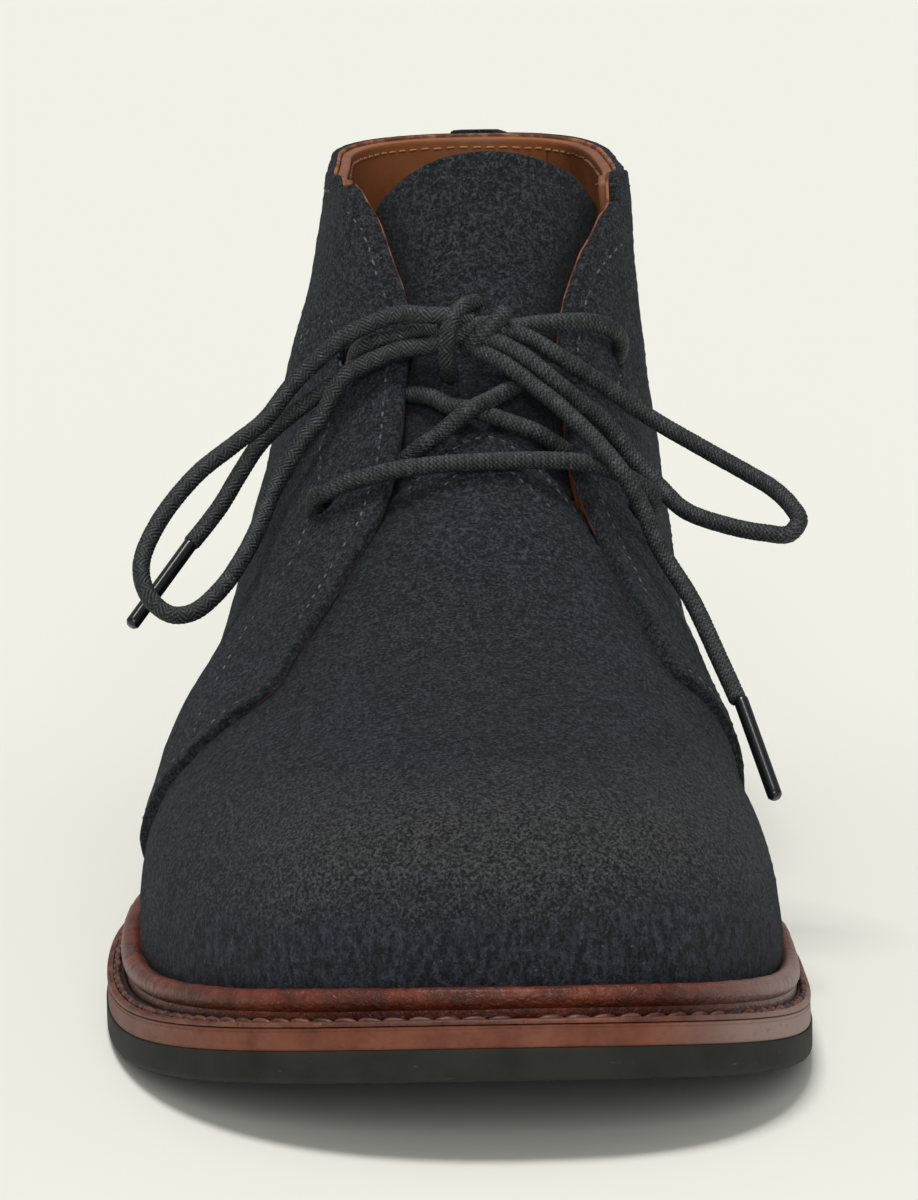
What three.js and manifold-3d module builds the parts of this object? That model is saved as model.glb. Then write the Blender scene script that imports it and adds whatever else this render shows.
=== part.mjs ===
// A suede chukka boot for the right foot. Millimetres, +Z up.
// The toe points to -Y and the inner (medial) side of the foot is +X.
// Places along the boot are given as "at", the distance back from the tip of the sole.
import * as THREE from 'three';
import Module from 'manifold-3d';

// the sole, from the ground up
const TOE_SPRING = 12.5;
const SPRING_POWER = 1.8;
const FLAT_FROM = 86;
const FLAT_TO = 130;
const HEEL_BREAST = 226;
const HEEL_LIFT = 16;
const GAP = 0.3;
const OUTSOLE_THICK = 4.9;
const MIDSOLE_THICK = 3.2;
const WELT_EDGE_THICK = 1.3;
const WELT_ROOT_THICK = 2.5;
const BEAD_HEIGHT = 5.6;
const BEAD_WIDTH = 3.4;
const WELT_INSET = 0.2;
const WELT_LAP = 4;
const INSOLE_THICK = 3.0;
const SOLE_CORNER = 1.2;
const MIDSOLE_INSET = 0.5;
const MIDSOLE_BASE = OUTSOLE_THICK + GAP;
const FEATHER = MIDSOLE_BASE + MIDSOLE_THICK + 1.4 * GAP;

// the upper
const WALL = 2.3;
const QUARTER_PROUD = 1.6;
const FIT_GAP = 0.35;
const TONGUE_THICK = 2.4;
const RIDGE_X = 5;
const TIP = { at: 8.0, x: 7 };
const FORM_DEPTH = 14;
const BALL_AT = { lateral: 106, medial: 84 };
const TOE_POWER = { lateral: 2.35, medial: 2.75 };
const HEEL_POWER = 2.5;
const HEEL_TURN = 36;

// x of the two walls of the last, a row for each height above the feather line
const WALLS = {
  lateral: [
    { at: 0, ball: -52.2, waist: -39.5, seat: -29.5, heel: -28.5 },
    { at: 8, ball: -52.8, waist: -40.5, seat: -30.5, heel: -29.5 },
    { at: 34, ball: -49.8, waist: -39.5, seat: -31.0, heel: -29.0 },
    { at: 66, ball: -45.0, waist: -32.5, seat: -27.0, heel: -25.0 },
    { at: 100, ball: -43.0, waist: -23.5, seat: -21.5, heel: -21.5 },
    { at: 130, ball: -43.0, waist: -20.5, seat: -20.0, heel: -20.5 },
  ],
  medial: [
    { at: 0, ball: 49.6, waist: 30.0, seat: 35.0, heel: 36.0 },
    { at: 8, ball: 50.2, waist: 32.5, seat: 36.0, heel: 37.0 },
    { at: 34, ball: 47.8, waist: 38.0, seat: 37.0, heel: 36.5 },
    { at: 66, ball: 45.0, waist: 34.0, seat: 33.5, heel: 32.5 },
    { at: 100, ball: 42.0, waist: 30.5, seat: 30.0, heel: 28.0 },
    { at: 130, ball: 42.0, waist: 28.5, seat: 28.0, heel: 26.5 },
  ],
};
const WAIST_AT = 178;
const SEAT_AT = 232;
const HEEL_AT = 272;

// the line over the toe, the vamp and the instep, seen from the side
const RIDGE = [
  { at: 7.0, z: 29.0 },
  { at: 9.0, z: 36.5 },
  { at: 14.0, z: 43.0 },
  { at: 24.0, z: 49.0 },
  { at: 45.0, z: 53.5 },
  { at: 70.0, z: 57.0 },
  { at: 95.0, z: 62.5 },
  { at: 115.0, z: 70.5 },
  { at: 135.0, z: 82.5 },
  { at: 150.0, z: 95.0 },
  { at: 162.0, z: 108.0 },
  { at: 171.0, z: 122.0 },
  { at: 177.0, z: 138.0 },
  { at: 182.0, z: 160.0 },
  { at: 200.0, z: 300.0 },
  { at: 310.0, z: 900.0 },
];
// how square the top of a section is
const ROUNDNESS = [
  { at: 8, power: 2.2 },
  { at: 60, power: 2.3 },
  { at: 110, power: 2.1 },
  { at: 150, power: 2.0 },
  { at: 180, power: 2.4 },
  { at: 210, power: 3.0 },
];
// the line of the heel, a row for each height above the ground
const BACK = [
  { at: 10, back: 299.4 },
  { at: 30, back: 300.0 },
  { at: 48, back: 300.6 },
  { at: 72, back: 298.5 },
  { at: 100, back: 294.0 },
  { at: 128, back: 291.0 },
  { at: 170, back: 288.0 },
];
// ribs run from the ridge to the sole or to the back; "low" is measured along the sole and
// then up the back
const RIBS = [
  { at: 0, ridge: 7.3, low: 9.0 },
  { at: 1, ridge: 60, low: 60 },
  { at: 2, ridge: 96, low: 104 },
  { at: 3, ridge: 128, low: 176 },
  { at: 4, ridge: 152, low: 256 },
  { at: 5, ridge: 164, low: 326 },
  { at: 6, ridge: 173.5, low: 388 },
  { at: 7, ridge: 178.8, low: 440 },
];
const SOLE_TURN_AT = 297;
const TOP_Z = 146;
const RIB_COUNT = 32;
const RING_COUNT = 36;
const TOE_RIBS = 8;

// the top line, a row for each place along the boot
const TOPLINE = [
  { at: 150, z: 131.0 },
  { at: 186, z: 128.5 },
  { at: 215, z: 126.0 },
  { at: 255, z: 126.0 },
  { at: 310, z: 127.4 },
];

const COLOURS = {
  suede: 0x262a34,
  lining: 0xa5602f,
  rubber: 0x35352f,
  leather: 0x82442f,
  bead: 0x5e2a1c,
  lace: 0x17181a,
};

const wasm = await Module();
wasm.setup();

function mix(a, b, t) {
  return a + (b - a) * t;
}

function smooth(t) {
  const u = Math.min(Math.max(t, 0), 1);
  return u * u * (3 - 2 * u);
}

// a smooth curve through one column of a table
function column(rows, key, at) {
  const last = rows.length - 1;
  if (at <= rows[0].at) return rows[0][key];
  if (at >= rows[last].at) return rows[last][key];
  let i = 0;
  while (at > rows[i + 1].at) i += 1;
  const slope = (j) => {
    const before = rows[Math.max(j - 1, 0)];
    const after = rows[Math.min(j + 1, last)];
    return (after[key] - before[key]) / (after.at - before.at);
  };
  const span = rows[i + 1].at - rows[i].at;
  const t = (at - rows[i].at) / span;
  const rise = rows[i + 1][key] - rows[i][key];
  const s0 = slope(i) * span;
  const s1 = slope(i + 1) * span;
  return rows[i][key] + t * (s0 + t * (3 * rise - 2 * s0 - s1 + t * (s0 + s1 - 2 * rise)));
}

// the ground side of the outsole
function underside(at) {
  if (at < FLAT_FROM) return TOE_SPRING * ((FLAT_FROM - at) / FLAT_FROM) ** SPRING_POWER;
  return HEEL_LIFT * smooth((at - FLAT_TO) / (HEEL_BREAST - FLAT_TO));
}

function featherZ(at) {
  return underside(at) + FEATHER;
}

function rounded(t, power) {
  const u = Math.min(Math.max(t, 0), 1);
  return (1 - u ** power) ** (1 / power);
}

// x of one wall of the last before the top is rounded over
function wallX(side, at, z) {
  const height = z - featherZ(at);
  const ball = column(WALLS[side], 'ball', height);
  const ballAt = BALL_AT[side];
  let x = ball;
  if (at < ballAt) {
    x = mix(TIP.x, ball, rounded((ballAt - at) / (ballAt - TIP.at), TOE_POWER[side]));
  } else {
    const rows = [
      { at: 2 * ballAt - WAIST_AT, x: column(WALLS[side], 'waist', height) },
      { at: ballAt, x: ball },
      { at: WAIST_AT, x: column(WALLS[side], 'waist', height) },
      { at: SEAT_AT, x: column(WALLS[side], 'seat', height) },
      { at: HEEL_AT, x: column(WALLS[side], 'heel', height) },
    ];
    x = column(rows, 'x', at);
  }
  const back = column(BACK, 'back', z);
  const turn = rounded((at - back + HEEL_TURN) / HEEL_TURN, HEEL_POWER);
  return mix(RIDGE_X, x, turn);
}

function ridgeZ(at) {
  if (at < RIDGE[0].at) return 0;
  return column(RIDGE, 'z', at);
}

// x of one wall with the top rounded over
function formX(side, at, z) {
  const shoulder = featherZ(at) + 8;
  const rise = (z - shoulder) / (ridgeZ(at) - shoulder);
  const top = rounded(rise, column(ROUNDNESS, 'power', at));
  const ridgeX = mix(TIP.x, RIDGE_X, smooth(at / 60));
  return mix(ridgeX, wallX(side, at, z), top);
}

function insideForm(x, at, z) {
  if (at < TIP.at - 1.5 || at > column(BACK, 'back', z)) return false;
  if (z > ridgeZ(at) || z > TOP_Z || z < featherZ(at) - FORM_DEPTH) return false;
  return x > formX('lateral', at, z) && x < formX('medial', at, z);
}

// a place along the sole and then up the line of the back
function lowPoint(low) {
  if (low <= SOLE_TURN_AT) return { at: low, z: featherZ(low) - FORM_DEPTH };
  const z = featherZ(SOLE_TURN_AT) - FORM_DEPTH + low - SOLE_TURN_AT;
  return { at: column(BACK, 'back', z), z };
}

// the ring of points where one rib's plane meets the form
function ribRing(rib) {
  const topAt = column(RIBS, 'ridge', rib);
  const top = { at: topAt, z: Math.min(ridgeZ(topAt), TOP_Z) };
  const low = lowPoint(column(RIBS, 'low', rib));
  const centre = { at: mix(low.at, top.at, 0.42), z: mix(low.z, top.z, 0.42) };
  const reach = Math.hypot(top.at - low.at, top.z - low.z);
  const along = { at: (top.at - low.at) / reach, z: (top.z - low.z) / reach };
  const middleX = mix(TIP.x, RIDGE_X, smooth(centre.at / 60));
  const ring = [];
  for (let j = 0; j < RING_COUNT; j += 1) {
    const angle = (j / RING_COUNT) * 2 * Math.PI;
    const place = (r) => [
      middleX + Math.sin(angle) * r,
      centre.at + Math.cos(angle) * along.at * r,
      centre.z + Math.cos(angle) * along.z * r,
    ];
    let near = 0;
    let far = 160;
    for (let step = 0; step < 26; step += 1) {
      const middle = (near + far) / 2;
      if (insideForm(...place(middle))) near = middle;
      else far = middle;
    }
    ring.push(place(near));
  }
  return ring;
}

function ribPlaces() {
  const places = [];
  for (let i = 1; i <= TOE_RIBS; i += 1) places.push((i / TOE_RIBS) ** 2.2 * 0.55);
  const rest = RIB_COUNT - TOE_RIBS;
  for (let i = 1; i <= rest; i += 1) places.push(mix(0.55, RIBS[RIBS.length - 1].at, i / rest));
  return places;
}

const FORM_RINGS = ribPlaces().map(ribRing);
const FORM_NORMALS = FORM_RINGS.map((ring, i) => ring.map((point, j) => {
  const count = FORM_RINGS.length;
  const before = new THREE.Vector3(...FORM_RINGS[Math.max(i - 1, 0)][j]);
  const after = new THREE.Vector3(...FORM_RINGS[Math.min(i + 1, count - 1)][j]);
  const left = new THREE.Vector3(...ring[(j + RING_COUNT - 1) % RING_COUNT]);
  const right = new THREE.Vector3(...ring[(j + 1) % RING_COUNT]);
  return right.sub(left).cross(after.sub(before)).normalize();
}));

function toManifold(points, triangles) {
  const seen = new Map();
  const vertices = [];
  const index = points.map((p) => {
    const key = p.map((v) => v.toFixed(4)).join(' ');
    if (!seen.has(key)) {
      seen.set(key, vertices.length / 3);
      vertices.push(...p);
    }
    return seen.get(key);
  });
  const faces = [];
  for (const triangle of triangles) {
    const [a, b, c] = triangle.map((i) => index[i]);
    if (a !== b && b !== c && c !== a) faces.push(a, b, c);
  }
  return new wasm.Manifold(new wasm.Mesh({
    numProp: 3,
    vertProperties: new Float32Array(vertices),
    triVerts: new Uint32Array(faces),
  }));
}

// rings of points joined in turn, with the two ends closed to a middle point
function loft(rings, closeStart = true, closeEnd = true) {
  const count = rings[0].length;
  const points = rings.flat();
  const triangles = [];
  for (let i = 0; i + 1 < rings.length; i += 1) {
    for (let j = 0; j < count; j += 1) {
      const a = i * count + j;
      const b = i * count + ((j + 1) % count);
      triangles.push([a, b, b + count], [a, b + count, a + count]);
    }
  }
  const middle = (ring) => [0, 1, 2].map((k) => ring.reduce((sum, p) => sum + p[k], 0) / count);
  const start = points.length;
  if (closeStart) {
    points.push(middle(rings[0]));
    for (let j = 0; j < count; j += 1) triangles.push([start, (j + 1) % count, j]);
  }
  if (closeEnd) {
    const end = points.length;
    const base = (rings.length - 1) * count;
    points.push(middle(rings[rings.length - 1]));
    for (let j = 0; j < count; j += 1) triangles.push([end, base + j, base + ((j + 1) % count)]);
  }
  const body = toManifold(points, triangles);
  return body.volume() < 0 ? toManifold(points, triangles.map((t) => t.toReversed())) : body;
}

// the last grown or shrunk by an offset, as one solid
function form(offset) {
  const rings = FORM_RINGS.map((ring, i) => ring.map((point, j) => {
    const normal = FORM_NORMALS[i][j];
    return [
      point[0] + normal.x * offset,
      point[1] + normal.y * offset,
      point[2] + normal.z * offset,
    ];
  }));
  return loft(rings);
}

// a flat outline of [at, z] pairs carried across the whole width of the boot
function acrossBoot(outline, fromX = -90, toX = 90) {
  return loft([fromX, toX].map((x) => outline.map(([at, z]) => [x, at, z])));
}

// an outline of [x, at] pairs carried straight up
function upFromGround(outline, fromZ = -10, toZ = 200) {
  return loft([fromZ, toZ].map((z) => outline.map(([x, at]) => [x, at, z])));
}

// an outline of [x, z] pairs carried back from the toe
function alongBoot(outline, fromAt, toAt) {
  return loft([fromAt, toAt].map((at) => outline.map(([x, z]) => [x, at, z])));
}

function belowFeather(lift) {
  const outline = [[-20, -60]];
  for (let at = -20; at <= 330; at += 5) outline.push([at, featherZ(Math.max(at, 0)) + lift]);
  outline.push([330, -60]);
  return acrossBoot(outline);
}

function aboveTopline() {
  const outline = [];
  for (let at = 150; at <= 310; at += 10) outline.push([at, column(TOPLINE, 'z', at)]);
  outline.push([310, 260], [150, 260]);
  return acrossBoot(outline);
}

// the loop of the feather line in plan, grown outwards; margins may differ round the boot
const LOOP_STEPS = 42;
const SOLE_MARGIN = [
  { at: 0, lateral: 8.0, medial: 8.0 },
  { at: 60, lateral: 6.8, medial: 5.4 },
  { at: 110, lateral: 6.4, medial: 4.6 },
  { at: 175, lateral: 4.6, medial: 3.4 },
  { at: 235, lateral: 4.0, medial: 4.0 },
  { at: 304, lateral: 4.4, medial: 4.4 },
];

function featherLoop(height = 0) {
  const loop = [];
  const end = column(BACK, 'back', featherZ(HEEL_AT) + height);
  const place = (k) => mix(TIP.at, end, (1 - Math.cos((Math.PI * k) / LOOP_STEPS)) / 2);
  const edge = (side, at) => {
    if (at <= TIP.at) return TIP.x;
    return at >= end ? RIDGE_X : wallX(side, at, featherZ(at) + height);
  };
  for (let k = 0; k < LOOP_STEPS; k += 1) loop.push([edge('lateral', place(k)), place(k)]);
  for (let k = LOOP_STEPS; k > 0; k -= 1) loop.push([edge('medial', place(k)), place(k)]);
  return loop;
}

function grownLoop(margin, height = 0) {
  const loop = featherLoop(height);
  const count = loop.length;
  return loop.map(([x, at], i) => {
    const before = loop[(i + count - 1) % count];
    const after = loop[(i + 1) % count];
    const run = [after[0] - before[0], after[1] - before[1]];
    const length = Math.hypot(...run);
    const grow = typeof margin === 'number' ? margin : margin(at, i < LOOP_STEPS);
    return [x - (run[1] / length) * grow, at + (run[0] / length) * grow];
  });
}

function soleMargin(at, onLateral) {
  return column(SOLE_MARGIN, onLateral ? 'lateral' : 'medial', at);
}

// x of the two edges of a loop at one place along the boot
function loopEdges(loop, at) {
  const found = [];
  loop.forEach((a, i) => {
    const b = loop[(i + 1) % loop.length];
    if ((a[1] <= at) !== (b[1] <= at)) found.push(mix(a[0], b[0], (at - a[1]) / (b[1] - a[1])));
  });
  return [Math.min(...found), Math.max(...found)];
}

// a layer of the sole between two heights, with its lower or upper edge worn round
function plate(loop, bottomZ, topZ, corner = 0, steps = 46) {
  const from = Math.min(...loop.map((p) => p[1]));
  const to = Math.max(...loop.map((p) => p[1]));
  const rings = [];
  const places = [FLAT_FROM, FLAT_TO];
  for (let k = 1; k < steps; k += 1) {
    places.push(mix(from, to, (1 - Math.cos((Math.PI * k) / steps)) / 2));
  }
  places.push(from + 0.25, to - 0.25);
  places.sort((a, b) => a - b);
  for (const at of places) {
    const [lateral, medial] = loopEdges(loop, at);
    const low = bottomZ(at);
    const high = topZ(at);
    const turn = Math.min(corner, (medial - lateral) / 4);
    const across = [
      [lateral + turn, low], [medial - turn, low], [medial, low + corner],
      [medial, high], [lateral, high], [lateral, low + corner],
    ];
    rings.push((corner ? across : [across[0], across[1], across[3], across[4]])
      .map(([x, z]) => [x, at, z]));
  }
  return loft(rings);
}

const SOLE_LOOP = grownLoop(soleMargin);
// the middle of the footprint on the ground
const ORIGIN = [0, 1].map((k) => {
  const values = SOLE_LOOP.map((point) => point[k]);
  return (Math.min(...values) + Math.max(...values)) / 2;
});
const MIDSOLE_LOOP = grownLoop((at, side) => soleMargin(at, side) - MIDSOLE_INSET);

function outsole() {
  return plate(SOLE_LOOP, underside, (at) => underside(at) + OUTSOLE_THICK, SOLE_CORNER);
}

function midsole() {
  const low = (at) => underside(at) + MIDSOLE_BASE;
  return plate(MIDSOLE_LOOP, low, (at) => low(at) + MIDSOLE_THICK);
}

function heel() {
  const block = plate(SOLE_LOOP, () => 0, () => HEEL_LIFT - GAP, SOLE_CORNER);
  const breast = HEEL_BREAST + 4;
  const keep = [];
  for (let k = -8; k <= 8; k += 1) keep.push([k * 8, breast + 5 * Math.cos((k / 8) * 1.4)]);
  keep.push([64, 330], [-64, 330]);
  return block.intersect(upFromGround(keep));
}

function insole() {
  const inside = form(-WALL - FIT_GAP);
  return inside.intersect(belowFeather(INSOLE_THICK).subtract(belowFeather(0)));
}

// the welt: a strip under the edge of the upper with its rolled bead against the upper
function welt() {
  const outer = grownLoop((at, side) => soleMargin(at, side) - WELT_INSET);
  const beadInner = grownLoop(0, BEAD_HEIGHT);
  const inner = grownLoop(-WELT_LAP);
  const rings = outer.map(([ox, oat], i) => {
    const [ix, iat] = beadInner[i];
    const width = Math.hypot(ox - ix, oat - iat);
    const foot = width - Math.min(BEAD_WIDTH, width * 0.65);
    const place = (fromOuter, z) => {
      const at = mix(oat, iat, fromOuter / width);
      return [mix(ox, ix, fromOuter / width), at, featherZ(at) + z];
    };
    const bead = width - foot;
    const [nx, nat] = inner[i];
    return [
      place(0, 0),
      place(0, WELT_EDGE_THICK),
      place(foot * 0.95, WELT_ROOT_THICK),
      place(foot, BEAD_HEIGHT * 0.68),
      place(foot + bead * 0.35, BEAD_HEIGHT * 0.97),
      place(foot + bead * 0.8, BEAD_HEIGHT * 0.92),
      [nx, nat, featherZ(nat) + BEAD_HEIGHT * 0.6],
      [nx, nat, featherZ(nat)],
    ];
  });
  return loft([...rings, rings[0]], false, false).subtract(form(FIT_GAP));
}

// the quarters lie over the vamp: their front edge, a row for each height
const QUARTER_SEAM = [
  { z: 0, lateral: 133, medial: 137 },
  { z: 14, lateral: 126, medial: 130 },
  { z: 22, lateral: 115, medial: 123 },
  { z: 30, lateral: 106, medial: 116 },
  { z: 37, lateral: 101, medial: 112 },
  { z: 43, lateral: 98, medial: 109 },
  { z: 49, lateral: 95.5, medial: 106.5 },
  { z: 55, lateral: 95, medial: 103 },
  { z: 80, lateral: 95, medial: 103 },
];
// the edges of the two facings, a row for each place along the boot
const THROAT = [
  { at: 94, lateral: -29.8, medial: 37.5 },
  { at: 104, lateral: -26.8, medial: 33.8 },
  { at: 115, lateral: -21.0, medial: 30.0 },
  { at: 122, lateral: -17.5, medial: 27.4 },
  { at: 130, lateral: -13.2, medial: 24.2 },
  { at: 142, lateral: -9.2, medial: 19.4 },
  { at: 156, lateral: -7.6, medial: 18.3 },
  { at: 170, lateral: -8.6, medial: 18.3 },
  { at: 178, lateral: -11.5, medial: 20.5 },
  { at: 184, lateral: -16.0, medial: 24.5 },
  { at: 192, lateral: -20.0, medial: 28.5 },
];
const THROAT_STEP = 6;
const VAMP_POINT = { at: 143.6, side: 136.5 };

function throatEdges(from, to) {
  const lateral = [];
  const medial = [];
  const steps = Math.round((to - from) / THROAT_STEP);
  for (let k = 0; k <= steps; k += 1) {
    const at = mix(from, to, k / steps);
    lateral.push([column(THROAT, 'lateral', at), at]);
    medial.push([column(THROAT, 'medial', at), at]);
  }
  return [...lateral, ...medial.toReversed()];
}

function quarters() {
  const cover = form(QUARTER_PROUD, true).subtract(form(-WALL / 2));
  const behindSeam = (side, fromX, toX) => {
    const seam = QUARTER_SEAM.map((row) => [row[side], row.z]);
    return acrossBoot([...seam, [seam.at(-1)[0], 200], [330, 200], [330, 0]], fromX, toX);
  };
  const behind = behindSeam('lateral', -90, RIDGE_X).add(behindSeam('medial', RIDGE_X, 90));
  return cover.intersect(behind)
    .subtract(upFromGround(throatEdges(80, 194)))
    .subtract(belowFeather(BEAD_HEIGHT + GAP));
}

// where the tongue shows between the facings, down to the curved top of the vamp
function throatHole() {
  const edges = throatEdges(VAMP_POINT.side, 194);
  const [left, right] = [edges[0][0], edges.at(-1)[0]];
  for (let k = 3; k > 0; k -= 1) {
    const rise = Math.sin((k / 4) * Math.PI) * (VAMP_POINT.at - VAMP_POINT.side);
    edges.push([mix(left, right, k / 4), VAMP_POINT.side + rise]);
  }
  return upFromGround(edges, 60, 200);
}

const EYELET_RADIUS = 2.1;
const EYELETS = {
  lower_lateral: { x: -23.2, at: 142.5, z: 76.5 },
  lower_medial: { x: 33.2, at: 144, z: 75.5 },
  upper_lateral: { x: -18.4, at: 169, z: 98 },
  upper_medial: { x: 28.2, at: 172, z: 98 },
};

function tube(path, radius, sides = 8) {
  const curve = new THREE.CatmullRomCurve3(path.map((p) => new THREE.Vector3(...p)));
  const steps = Math.max(1, Math.round(curve.getLength() / (radius * 4.6)));
  const frames = curve.computeFrenetFrames(steps);
  const rings = [];
  for (let i = 0; i <= steps; i += 1) {
    const centre = curve.getPointAt(i / steps);
    const ring = [];
    for (let j = 0; j < sides; j += 1) {
      const angle = (j / sides) * 2 * Math.PI;
      const point = centre.clone()
        .addScaledVector(frames.normals[i], Math.cos(angle) * radius)
        .addScaledVector(frames.binormals[i], Math.sin(angle) * radius);
      ring.push(point.toArray());
    }
    rings.push(ring);
  }
  return loft(rings);
}

function eyeletHoles() {
  return Object.values(EYELETS).map(({ x, at, z }) => {
    const inside = [mix(x, RIDGE_X, 0.5), at + 10, z - 10];
    const outside = [mix(x, RIDGE_X, -0.3), at - 6, z + 6];
    return tube([inside, outside], EYELET_RADIUS, 12);
  });
}

function upper() {
  const holes = eyeletHoles();
  const shell = form(0).add(quarters()).subtract(form(-WALL))
    .subtract(throatHole())
    .subtract(belowFeather(0))
    .subtract(aboveTopline());
  return holes.reduce((body, hole) => body.subtract(hole), shell);
}

const TONGUE_TOP_Z = 133;
const TONGUE_HALF_WIDTH = 20.5;
const TONGUE_ROOT_Z = 80;

function tongue() {
  const outerOffset = -WALL - FIT_GAP;
  const sheet = form(outerOffset).subtract(form(outerOffset - TONGUE_THICK));
  const outline = [];
  const crown = 17;
  for (let k = 0; k <= 14; k += 1) {
    const angle = (k / 14) * Math.PI;
    const x = RIDGE_X + Math.cos(angle) * TONGUE_HALF_WIDTH;
    outline.push([x, TONGUE_TOP_Z - crown + crown * Math.sin(angle)]);
  }
  outline.push([RIDGE_X - TONGUE_HALF_WIDTH, TONGUE_ROOT_Z]);
  outline.push([RIDGE_X + TONGUE_HALF_WIDTH, TONGUE_ROOT_Z]);
  return sheet.intersect(alongBoot(outline, 100, 192));
}

const LACE_RADIUS = 1.5;
const AGLET_RADIUS = 1.25;

// the lace, each stretch as [x, at, z]
const LACE = {
  bar: [
    [-22.4, 138, 78.7], [-18.9, 136.6, 80.7], [-14.3, 135.1, 82.2], [-9.6, 134.1, 83.4],
    [0.6, 134.1, 84.3], [14.1, 135.1, 84.4], [20.5, 136.1, 83.8], [25.9, 138, 82.1],
    [28.6, 139.2, 80.4],
  ],
  over: [
    [-5.4, 141.4, 86.5], [-3.2, 141.8, 87.9], [2.1, 142, 92.1], [6.2, 146, 93.5],
    [10.7, 150.2, 95.4], [13.4, 153.2, 96.6],
  ],
  under: [
    [-4.2, 151.2, 93.3], [-1, 148.3, 92.1], [2.4, 145.6, 91.9], [9.2, 143.8, 89.7],
    [13.6, 143.4, 88],
  ],
  knotWrap: [
    [4.2, 157, 108.9], [1.7, 153.5, 108.6], [-0.4, 151.5, 106.5], [-1.3, 151, 102.8],
    [-1.3, 152, 99.2], [-0.5, 155, 96.1],
  ],
  knotCore: [[-3, 154, 104], [2.7, 153, 105.2], [7, 154, 105.4], [9.6, 155.5, 104.3]],
  knotFront: [[1.6, 154, 101], [4.6, 151.5, 103.6], [9.3, 153, 108.1]],
  toUpperMedial: [
    [8.7, 155.5, 104.3], [13.1, 157, 104.8], [18.3, 158, 105.1], [23.6, 161, 104.6],
    [27.2, 164, 103],
  ],
  toUpperLateral: [
    [-2, 155, 104.3], [-5.9, 157.5, 104], [-10.3, 158.8, 102.8], [-14.2, 159.5, 101.2],
  ],
  lateralLoop: [
    [-4.8, 153, 107.2], [-9.3, 156.5, 107.1], [-18, 158.5, 103.6], [-23.3, 160, 99.3],
    [-28.2, 160, 94.7], [-32.9, 156, 89.2], [-38, 151, 85.8], [-44.5, 146, 81.3],
    [-50.9, 140, 74], [-53.6, 134, 67.5], [-52.2, 131, 62.8], [-48.7, 130, 60],
    [-44.9, 131, 60.1], [-40.4, 134, 63.3], [-36.7, 139, 67.8], [-34.1, 145, 72.1],
    [-31, 152, 78.6], [-26.6, 154.5, 85.5], [-23.2, 155.5, 89.6], [-19, 157, 96.3],
    [-9.4, 155, 101.1], [-4.8, 153, 101.5],
  ],
  lateralEnd: [
    [-23.1, 160.5, 93.3], [-27, 161.5, 90.5], [-31.4, 161.5, 87], [-34.4, 160, 84.1],
    [-37.7, 158, 79.4], [-40.8, 155.5, 74.6], [-43.6, 153, 71.2], [-46.1, 150.5, 68.5],
  ],
  lateralAglet: [[-46.6, 150, 67.9], [-56, 140, 56.4]],
  medialLoop: [
    [12.6, 153.5, 103], [18, 152.5, 99.7], [24.2, 155, 95.3], [33.4, 158, 88.3],
    [42.4, 153, 83.4], [49.6, 146, 80], [53.8, 140, 78], [56.5, 135, 75.7],
    [57.5, 132, 73.7], [55.7, 131, 71.7], [51.7, 132, 71.8], [46.1, 136, 72.4],
    [38.8, 143, 74.2], [34.8, 149, 77.4], [30, 151.5, 82.3], [25.6, 151.5, 88.3],
    [21, 149.5, 92.4], [18.1, 148.1, 95.1], [11.7, 149.6, 100.3],
  ],
  medialEnd: [
    [13.6, 147, 95.3], [17.8, 143, 92.3], [23.6, 137, 87.1], [27.8, 132.6, 82.4],
    [30.8, 132.6, 77], [34, 130.5, 69.6], [39, 125, 61.7], [43.2, 117, 52.9],
    [46, 111, 46.9],
  ],
  medialAglet: [[46.6, 110.5, 46.3], [51.2, 98, 33.3]],
};

function laceTube(name, radius = LACE_RADIUS) {
  return tube(LACE[name], radius);
}

function joined(names) {
  return names.map((name) => laceTube(name)).reduce((body, next) => body.add(next));
}

const group = new THREE.Group();
group.name = 'chukka_boot';

function addNode(name, body, color, roughness = 0.8) {
  const mesh = body.getMesh();
  const geometry = new THREE.BufferGeometry();
  const stride = mesh.numProp;
  const position = new Float32Array((mesh.vertProperties.length / stride) * 3);
  for (let i = 0; i < position.length / 3; i += 1) {
    position[3 * i] = mesh.vertProperties[stride * i] - ORIGIN[0];
    position[3 * i + 1] = mesh.vertProperties[stride * i + 1] - ORIGIN[1];
    position[3 * i + 2] = mesh.vertProperties[stride * i + 2];
  }
  geometry.setAttribute('position', new THREE.BufferAttribute(position, 3));
  geometry.setIndex(Array.from(mesh.triVerts));
  geometry.computeVertexNormals();
  const material = new THREE.MeshStandardMaterial({ color, roughness, metalness: 0 });
  const node = new THREE.Mesh(geometry, material);
  node.name = name;
  group.add(node);
}

addNode('outsole', outsole(), COLOURS.rubber, 0.75);
addNode('heel', heel(), COLOURS.rubber, 0.75);
addNode('midsole', midsole(), COLOURS.leather, 0.6);
addNode('welt', welt(), COLOURS.bead, 0.4);
addNode('insole', insole(), COLOURS.lining, 0.7);
addNode('upper', upper(), COLOURS.suede, 0.95);
addNode('tongue', tongue(), COLOURS.suede, 0.95);

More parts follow.
